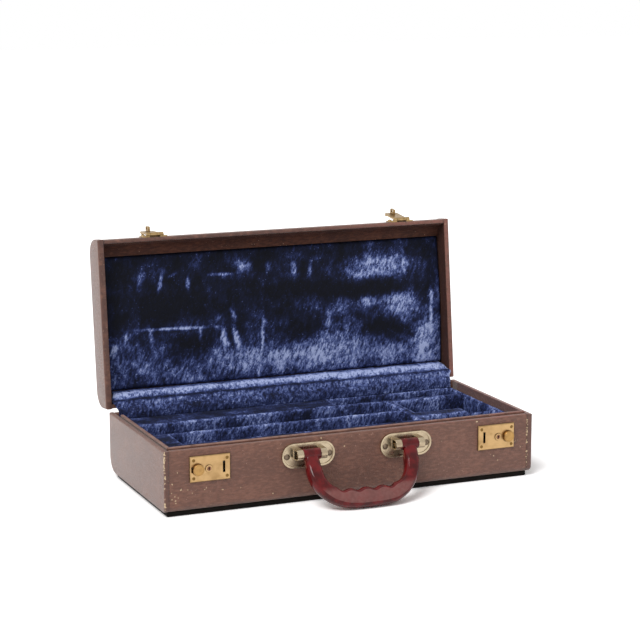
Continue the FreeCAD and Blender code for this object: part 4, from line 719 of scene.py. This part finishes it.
# across, down from the lid's front edge, half width, half height, lean in degrees, light, dent
rubs = [
    (-142, 40, 3.0, 9, 12, 0.45, 0.8), (-122, 45, 2.0, 11, 14, 0.75, 1.2), (-94, 48, 2.4, 6.5, 4, 0.7, 1.0),
    (-110, 39, 6, 1.6, -20, 0.3, 0.4), (-60, 41, 13, 1.6, 2, 0.5, 0.6), (-33, 36, 9, 8, 25, 0.42, 0.5),
    (-42, 30, 12, 6, 30, 0.3, 0.3), (-9, 37, 4, 6, 0, 0.55, 0.6), (19, 41, 4.0, 8, 0, 0.6, 0.9),
    (36, 42, 2.2, 8, 8, 0.5, 0.8), (45, 31, 8, 3, -10, 0.3, 0.3), (110, 44, 34, 11, 0, 0.62, 0.6),
    (140, 45, 2.2, 14, 0, 0.35, 0.5), (88, 52, 8, 4, 0, 0.25, 0.3), (-108, 91, 36, 1.5, 1.5, 0.75, 1.1),
    (-134, 98, 2.4, 10, -4, 0.4, 0.5), (-84, 100, 2.0, 10, 0, 0.3, 0.4), (-59, 103, 3.2, 11, -12, 0.75, 1.0),
    (-46, 103, 3.2, 12, -12, 0.75, 1.0), (-48, 82, 2.2, 7, -24, 0.5, 0.7), (-63, 84, 5, 4, 0, 0.35, 0.4),
    (-18, 104, 1.8, 13, 3, 0.65, 0.9), (-16, 90, 2.0, 5, -14, 0.4, 0.5), (53, 94, 3.0, 15, 2, 0.4, 0.5),
    (-159, 96, 4, 7, 20, 0.45, 0.5), (-172, 108, 2.5, 5, 35, 0.5, 0.3), (-130, 128, 22, 10, 0, 0.2, 0.2),
    (-20, 128, 60, 12, 0, 0.24, 0.1), (70, 122, 60, 15, 0, 0.28, 0.1), (130, 84, 34, 10, 0, 0.3, 0.1),
    (160, 118, 12, 22, 0, 0.32, 0.1), (60, 80, 40, 8, 0, 0.16, 0.1), (118, 112, 28, 13, 4, -0.45, -0.2),
    (100, 66, 60, 9, 0, -0.3, -0.3), (22, 104, 22, 11, 0, -0.25, -0.1), (-90, 70, 70, 12, 0, -0.18, -0.2),
    (-104, 112, 20, 13, 0, -0.22, -0.2), (40, 62, 40, 8, 0, -0.2, -0.2), (0, 60, 40, 8, 0, -0.15, -0.1),
    (165, 45, 9, 20, 0, -0.15, 0), (-165, 60, 12, 30, 0, -0.12, 0), (168.5, 88, 2.0, 24, 2, 0.6, 0.8),
    (124, 76, 26, 5, -4, 0.26, 0.1), (96, 78, 10, 7, 10, 0.24, 0.1), (62, 86, 9, 6, 0, 0.25, 0.2),
    (30, 130, 26, 8, 0, 0.18, 0.1), (-92, 106, 18, 7, 0, -0.14, -0.1), (-124, 112, 12, 6, -20, 0.2, 0.1),
    (-70, 120, 14, 9, 0, 0.18, 0.1),
]


def padHeight(across, deep):
    down = lid["front"] - deep
    middle, half = (pad["near"] + pad["far"]) / 2, (pad["far"] - pad["near"]) / 2
    crown = pad["crown"] * (1 - ((deep - middle) / half) ** 2)
    drop = rolledEdge(inward(across, deep, (-pad["half"], pad["near"]), (pad["half"], pad["far"])), pad["lip"])
    # painted light: the pile brightens towards the pad's lower edge
    pile = pad["pile"] + pad["paintedLightLow"] * np.clip((down - pad["lowFrom"]) / pad["lowOver"], 0, 1) ** 1.4
    pile += pad["pileRight"] * np.clip(across / pad["half"], -0.5, 1)
    pile += rippled(across, down, pad["ripples"])
    dent = np.zeros(len(across))
    ragged = rippled(across, down, pad["ragged"])
    for x, v, wide, tall, lean, light, depth in rubs:
        c, s = math.cos(math.radians(lean)), math.sin(math.radians(lean))
        dx, dv = across - x, down - v
        reach = ((dx * c + dv * s) / wide) ** 2 + ((dv * c - dx * s) / tall) ** 2
        near = np.exp(-(reach * (1 + ragged)) ** 1.4)
        pile += light * near
        dent += depth * near
    high = pad["top"] + crown - drop - pad["slack"] - pad["dented"] * dent + rippled(across, down, pad["swells"])
    return high, np.clip(pile, 0, 1)


padAcross = list(np.linspace(-pad["half"], pad["half"], int(2 * pad["half"] / pad["step"])))
padDeep = list(np.linspace(pad["near"], pad["far"], int((pad["far"] - pad["near"]) / pad["step"])))
lidPlush = openOut(plushField("lidPlush", padAcross, padDeep, padHeight, pad["floor"]))
finishPiece(lidPlush, plushNavy, "lid", ("lid_pad",))
print("lid lined", len(lidPlush.data.polygons), "faces")


# plush cloth over the hinge line, rolled under the pad's lower edge
cloth = {
    "half": 176.8, "thick": 0.9, "step": 1.6, "rows": 34, "flare": 4.2, "flareWide": 0.17,
    "line": [
        (74.2, 55.0), (74.0, 60.6), (75.0, 63.6), (77.0, 65.2), (79.2, 67.0), (80.2, 70.0), (82.6, 71.6), (87.2, 72.6),
        (89.6, 74.6), (91.6, 76.4), (95.0, 76.9), (99.6, 76.9), (103.4, 76.3),
    ],
    "pile": 0.45, "pileRight": 0.06, "rightAt": 180, "selvage": 0.4, "selvageWide": 1, "sunk": 0.5, "fade": 8,
    "run": 40, "swells": [(0.75, 18, 5.5), (0.45, 6, 7.7)], "ripples": [(0.16, 20, 1.1), (0.14, 5, 2.6, (1, 2 / 3))],
    # painted light and painted shade across the roll: where along the line the pile is brighter or darker: share of the
    # length, width, strength
    "lightAndShadeBands": [(0.72, 0.13, 0.5), (0.5, 0.06, -0.22), (0.38, 0.06, 0.16)],
    "foldStart": (0, 0.0750, 0.0620), "foldEnd": (0, 0.0960, 0.0767),
}


# even points on a smooth line through the given ones, and its length
def alongLine(points, count):
    spots = [Vector((a, b, 0)) for a, b in points]
    ends = [spots[0] * 2 - spots[1]] + spots + [spots[-1] * 2 - spots[-2]]
    fine = []
    for i in range(1, len(ends) - 2):
        p0, p1, p2, p3 = ends[i - 1:i + 3]
        for t in (k / 12 for k in range(12)):
            curved = (2 * p0 - 5 * p1 + 4 * p2 - p3) * t ** 2 + (3 * p1 - p0 - 3 * p2 + p3) * t ** 3
            fine.append(0.5 * ((2 * p1) + (p2 - p0) * t + curved))
    fine.append(spots[-1])
    run = np.concatenate([[0], np.cumsum([(b - a).length for a, b in zip(fine, fine[1:])])])
    even = np.linspace(0, run[-1], count)
    return np.interp(even, run, [p.x for p in fine]), np.interp(even, run, [p.y for p in fine]), run[-1]


lineDeep, lineHigh, clothLength = alongLine(cloth["line"], cloth["rows"] + 1)
hingeCloth, points = addGrid("hingeCloth", int(2 * cloth["half"] / cloth["step"]), cloth["rows"])
share = points[:, 1] + 0.5
row = np.rint(share * cloth["rows"]).astype(int)
flare = cloth["flare"] * np.exp(-((share - 0.5) / cloth["flareWide"]) ** 2)
across = points[:, 0] * 2 * (cloth["half"] + flare)
outY, outZ = np.gradient(lineDeep), np.gradient(lineHigh)
size = np.hypot(outY, outZ)
pushY, pushZ = -outZ / size, outY / size  # away from the hinge
swell = rippled(across, share * cloth["run"], cloth["swells"]) - cloth["sunk"]
fade = np.clip(np.minimum(share, 1 - share) * cloth["fade"], 0, 1)  # the seams lie flat
clothPile = cloth["pile"] + cloth["pileRight"] * np.clip(across / cloth["rightAt"], -1, 1)
# bands of painted light and painted shade across the roll
for where, wide, gain in cloth["lightAndShadeBands"]:
    clothPile += gain * np.exp(-((share - where) / wide) ** 2)
clothPile += rippled(across, share * cloth["run"], cloth["ripples"])
clothPile += cloth["selvage"] * (across > cloth["half"] + flare - cloth["selvageWide"])
deep, high = lineDeep[row] + pushY[row] * swell * fade, lineHigh[row] + pushZ[row] * swell * fade
shapeGrid(hingeCloth, across, deep, high, np.clip(clothPile, 0.1, 1))
modify(hingeCloth, "SOLIDIFY", thickness=cloth["thick"] * mm, offset=0)
turnOutward(hingeCloth)
smoothAll(hingeCloth)
finishPiece(hingeCloth, plushNavy, None, ("hinge_cloth",))
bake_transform(hingeCloth)
print("hinge cloth laid", round(clothLength, 1), "mm")


# handle: one moulding, swept section by section, with a barrel on each arm and hollows for the fingers
# the given sections become evenly spaced ones
def between(rows, count):
    rows = np.array(rows, dtype=float)
    run = np.concatenate([[0], np.cumsum(np.hypot(np.diff(rows[:, 0]), np.diff(rows[:, 1])))])
    even = np.linspace(0, run[-1], count)
    flat = np.stack([np.interp(even, run, rows[:, k]) for k in range(rows.shape[1])], axis=1)
    for _ in range(3):  # soften the changes between rows
        flat[1:-1] = (flat[:-2] + 2 * flat[1:-1] + flat[2:]) / 4
    return flat


# how deep the finger hollow is at a section, in metres
def waveAt(across, turned):
    step = (across - grip["waveMiddle"]) / grip["wavePitch"]
    if abs(step) > grip["waves"] / 2 or abs(turned - 90) > 60:
        return 0.0
    return grip["waveDeep"] * mm * (0.5 + 0.5 * math.cos(2 * math.pi * (step + 0.5))) ** 1.3


def sweepHandle(name, stations):
    across, high, _, firstWide, firstThick = stations[0]
    wide, thick = grip["section"]
    place = Vector((across * mm, 0, high * mm))
    bpy.ops.mesh.primitive_plane_add(size=2, location=place)
    piece = nameNew(name)
    piece.scale = (wide * mm, thick * mm, 1)
    bakePlace(piece)
    bpy.ops.object.mode_set(mode="EDIT")
    bpy.ops.mesh.select_all(action="SELECT")
    bpy.ops.mesh.bevel(affect="VERTICES", offset=grip["corner"] * mm, segments=6)
    bpy.ops.mesh.select_mode(type="FACE")
    bpy.ops.mesh.select_all(action="SELECT")
    bpy.ops.transform.resize(value=(firstWide / wide, firstThick / thick, 1), center_override=place)
    wide, thick, angle = firstWide, firstThick, 0.0
    for across, high, turned, newWide, newThick in stations[1:]:
        there, newAngle = Vector((across * mm, 0, high * mm)), math.radians(turned)
        bpy.ops.mesh.extrude_region_move(TRANSFORM_OT_translate={"value": there - place})
        place = there
        bpy.ops.transform.rotate(value=-angle, orient_axis="Y", center_override=place)
        bpy.ops.transform.resize(value=(newWide / wide, newThick / thick, 1), center_override=place)
        bpy.ops.transform.rotate(value=newAngle, orient_axis="Y", center_override=place)
        wide, thick, angle = newWide, newThick, newAngle
    bpy.ops.object.mode_set(mode="OBJECT")
    return piece


clearSelection()
stations = between(grip["line"], grip["steps"])
handleBody = sweepHandle("handleBody", stations)
# finger hollows: the inner points of each section move outwards together
for across, high, turned, wide, thick in stations:
    depth = waveAt(across, turned)
    if depth > 0.02 * mm:
        centre, angle = Vector((across * mm, 0, high * mm)), math.radians(turned)
        along, toward = Vector((math.sin(angle), 0, -math.cos(angle))), Vector((math.cos(angle), 0, math.sin(angle)))

        def innerHere(edge):
            offs = [v.co - centre for v in edge.verts]
            return all(abs(off.dot(along)) < 0.1 * mm and off.dot(toward) > 0.25 * wide * mm for off in offs)
        work(handleBody, "EDGE", innerHere, bpy.ops.transform.translate, value=-toward * depth)
turnOutward(handleBody)
arms = [(-grip["arm"], 0, 0), (grip["arm"], 0, 0)]
for centre in arms:
    barrel = addRod("barrel", centre, grip["barrel"], grip["barrelLong"], 40, "x")
    inRing = lambda edge: abs(edge.verts[0].co.x - edge.verts[1].co.x) < 0.01 * mm
    roundEdges(barrel, inRing, grip["barrelRound"], 2)
    combine(handleBody, barrel, "UNION")
for centre in arms:
    combine(handleBody, addRod("bore", centre, grip["bore"], grip["boreLong"], 24, "x"), "DIFFERENCE")
handleBody.matrix_world = Matrix.Translation(Vector(grip["pivot"]) * mm) @ Matrix.Rotation(lean, 4, "X")
bakePlace(handleBody)
smooth(handleBody, 40)
finishPiece(handleBody, handlePlastic, "handle", ("handle",))
print("handle moulded", len(handleBody.data.polygons), "faces")


# knobs of the locks: turned head with a rim, stem, bolt and the tab that the spring pushes on
lock = {
    "knob": (-153.8, 42.7), "head": 5.2, "face": -83.1, "front": -86.6, "rim": 0.9, "sunk": 0.25, "rimRound": 0.4,
    "stem": 2.4, "back": -79.1, "boltFront": -80.9, "mirror": 5.0,
    # two ends across, low and high
    "bolt": (-156.3, -126.8, 40.7, 44.7), "tab": (-141, -140, 37.1, 41.2),
}


def knobFace(face):
    return face.normal.y < -0.9 and face.calc_area() > 20 * mm ** 2


def knobRim(edge):
    return all(v.co.y < (lock["front"] + 0.1) * mm for v in edge.verts) and edge.calc_face_angle(0) > 0.5


def onSide(side, x):
    return x if side == "left" else lock["mirror"] - x


def knobRod(name, side, radius, near, far, sides):
    x, z = lock["knob"]
    return addRod(name, (onSide(side, x), (near + far) / 2, z), radius, far - near, sides, "y")


for side in ("left", "right"):
    knob = knobRod("lockKnob_" + side, side, lock["head"], lock["front"], lock["face"], 56)
    work(knob, "FACE", knobFace, bpy.ops.mesh.inset, thickness=lock["rim"] * mm)
    sink = {"value": (0, lock["sunk"] * mm, 0)}
    work(knob, "FACE", knobFace, bpy.ops.mesh.extrude_region_move, TRANSFORM_OT_translate=sink)
    roundEdges(knob, knobRim, lock["rimRound"], 3)
    combine(knob, knobRod("stem", side, lock["stem"], lock["face"] - 0.5, lock["back"], 32), "UNION")
    for near, far, low, high in (lock["bolt"], lock["tab"]):
        ends = sorted((onSide(side, near), onSide(side, far)))
        bar = addBlock("bar", (ends[0], lock["boltFront"], low), (ends[1], lock["back"], high))
        combine(knob, bar, "UNION")
    smooth(knob)
    finishPiece(knob, knobBrass, "knob_" + side, ("lock_knob_" + side,))
    print("knob", side, len(knob.data.polygons), "faces")


# springs in the locks, coiled to the length of their part
coil = {"radius": 1.05, "wire": 0.22, "pitch": 2.4, "travel": 3.5, "gap": 0.15, "sides": 8, "steps": 18}
for side, sign in (("left", -1), ("right", 1)):
    low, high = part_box("lock_spring_" + side)
    length = (high.x - low.x) / mm - 2 * coil["gap"]
    turns = (length - 2 * coil["wire"]) / coil["pitch"]
    rise, steps = turns * coil["pitch"] * mm, int(coil["steps"] * turns)
    clearSelection()
    bpy.ops.mesh.primitive_circle_add(
        vertices=coil["sides"], radius=coil["wire"] * mm, location=(coil["radius"] * mm, 0, 0),
        rotation=(math.pi / 2, 0, 0))
    spring = bakePlace(nameNew("lockSpring_" + side))
    modify(spring, "SCREW", angle=2 * math.pi * turns, screw_offset=rise, steps=steps, render_steps=steps)
    for near in (0, rise):
        atEnd = edgeAt(2, near / mm, reach=2 * coil["wire"])
        work(spring, "EDGE", lambda edge: edge.is_boundary and atEnd(edge), bpy.ops.mesh.fill)
    turnOutward(spring)
    start = Vector((low.x + (coil["gap"] + coil["wire"]) * mm, (low.y + high.y) / 2, (low.z + high.z) / 2))
    spring.matrix_world = Matrix.Translation(start) @ Matrix.Rotation(math.pi / 2, 4, "Y")
    bakePlace(spring)
    smooth(spring, 60)
    finishPiece(spring, steelDull, "tub", ("lock_spring_" + side,))
    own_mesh(spring)
    print("spring", side, round(length, 2), "mm long,", round(turns, 1), "turns")


# CAD nodes that stay, each with its finish; those of a pair end in _left and _right
finishes = {
    "hinge_tub_screws": steelDull, "hinge_lid_screws": steelDull, "lock_screws": screwBrass, "handle_rivets": rivetGrey,
    "hasp_rivets": hingeBrass, "base_board": shadeBoardFinish, "tub_lip": lipLeather, "lid_cove": leatherPaintedShade,
    "lid_side_linings": leatherPaintedShade,
}
pairFinishes = {
    "hinge_tub_leaf": steelDull, "hinge_pin": steelDull, "hinge_lid_leaf": steelDull, "lock_plate": lockBrass,
    "lock_case": steelDull, "lock_tumbler": plugBrass, "hasp_base": hingeBrass, "hasp_pin": steelDull,
    "hasp_leaf": hingeBrass, "hasp_staple": hingeBrass, "handle_bracket": bracketBrass, "handle_pin": steelDull,
}
for side in ("_left", "_right"):
    finishes.update({name + side: finish for name, finish in pairFinishes.items()})
for name, finish in finishes.items():
    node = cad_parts[name]
    node.data.materials.clear()
    node.data.materials.append(finish)
print("hardware finished")


# floor, light and surroundings: the seen and mirrored white comes from the colour, not from the light
studio = {
    "sky": 0.6, "seenSky": 1.0, "key": (-0.55, -0.40, 0.85), "power": 1.9, "spread": 28,
    "paper": 0.8, "seenPaper": 1.35, "floor": 14,
}


def seenOrMirrored(tree):
    path = addNode(tree, "LightPath", output=None)
    mirrored = addNode(tree, "Math", largest, (path["Is Glossy Ray"], path["Is Transmission Ray"]))
    return addNode(tree, "Math", largest, (path["Is Camera Ray"], mirrored))


clearSelection()
bpy.ops.mesh.primitive_plane_add(size=studio["floor"], location=(0, 0, 0))
floor = nameNew("floor")
floorFinish = bpy.data.materials.new("paperSweep")
floorFinish.use_nodes = True
tree = floorFinish.node_tree
tree.nodes.remove(tree.nodes["Principled BSDF"])
pale = addNode(tree, "MapRange", None, (seenOrMirrored(tree), 0, 1, studio["paper"], studio["seenPaper"]))
tree.links.new(addNode(tree, "BsdfDiffuse", None, [pale]), tree.nodes["Material Output"].inputs["Surface"])
floor.data.materials.append(floorFinish)

world = bpy.data.worlds.new("studio")
bpy.context.scene.world = world
world.use_nodes = True
tree = world.node_tree
sky = addNode(tree, "MapRange", None, (seenOrMirrored(tree), 0, 1, studio["sky"], studio["seenSky"]))
tree.nodes["Background"].inputs["Color"].default_value = (1, 1, 1, 1)
tree.links.new(sky, tree.nodes["Background"].inputs["Strength"])
lampData = bpy.data.lights.new("key", "SUN")
lampData.energy, lampData.angle = studio["power"], math.radians(studio["spread"])
lamp = bpy.data.objects.new("key", lampData)
bpy.context.scene.collection.objects.link(lamp)
lamp.rotation_mode = "QUATERNION"
lamp.rotation_quaternion = Vector(studio["key"]).to_track_quat("Z", "Y")
bpy.context.scene.view_settings.view_transform = "Standard"
print("studio lit")
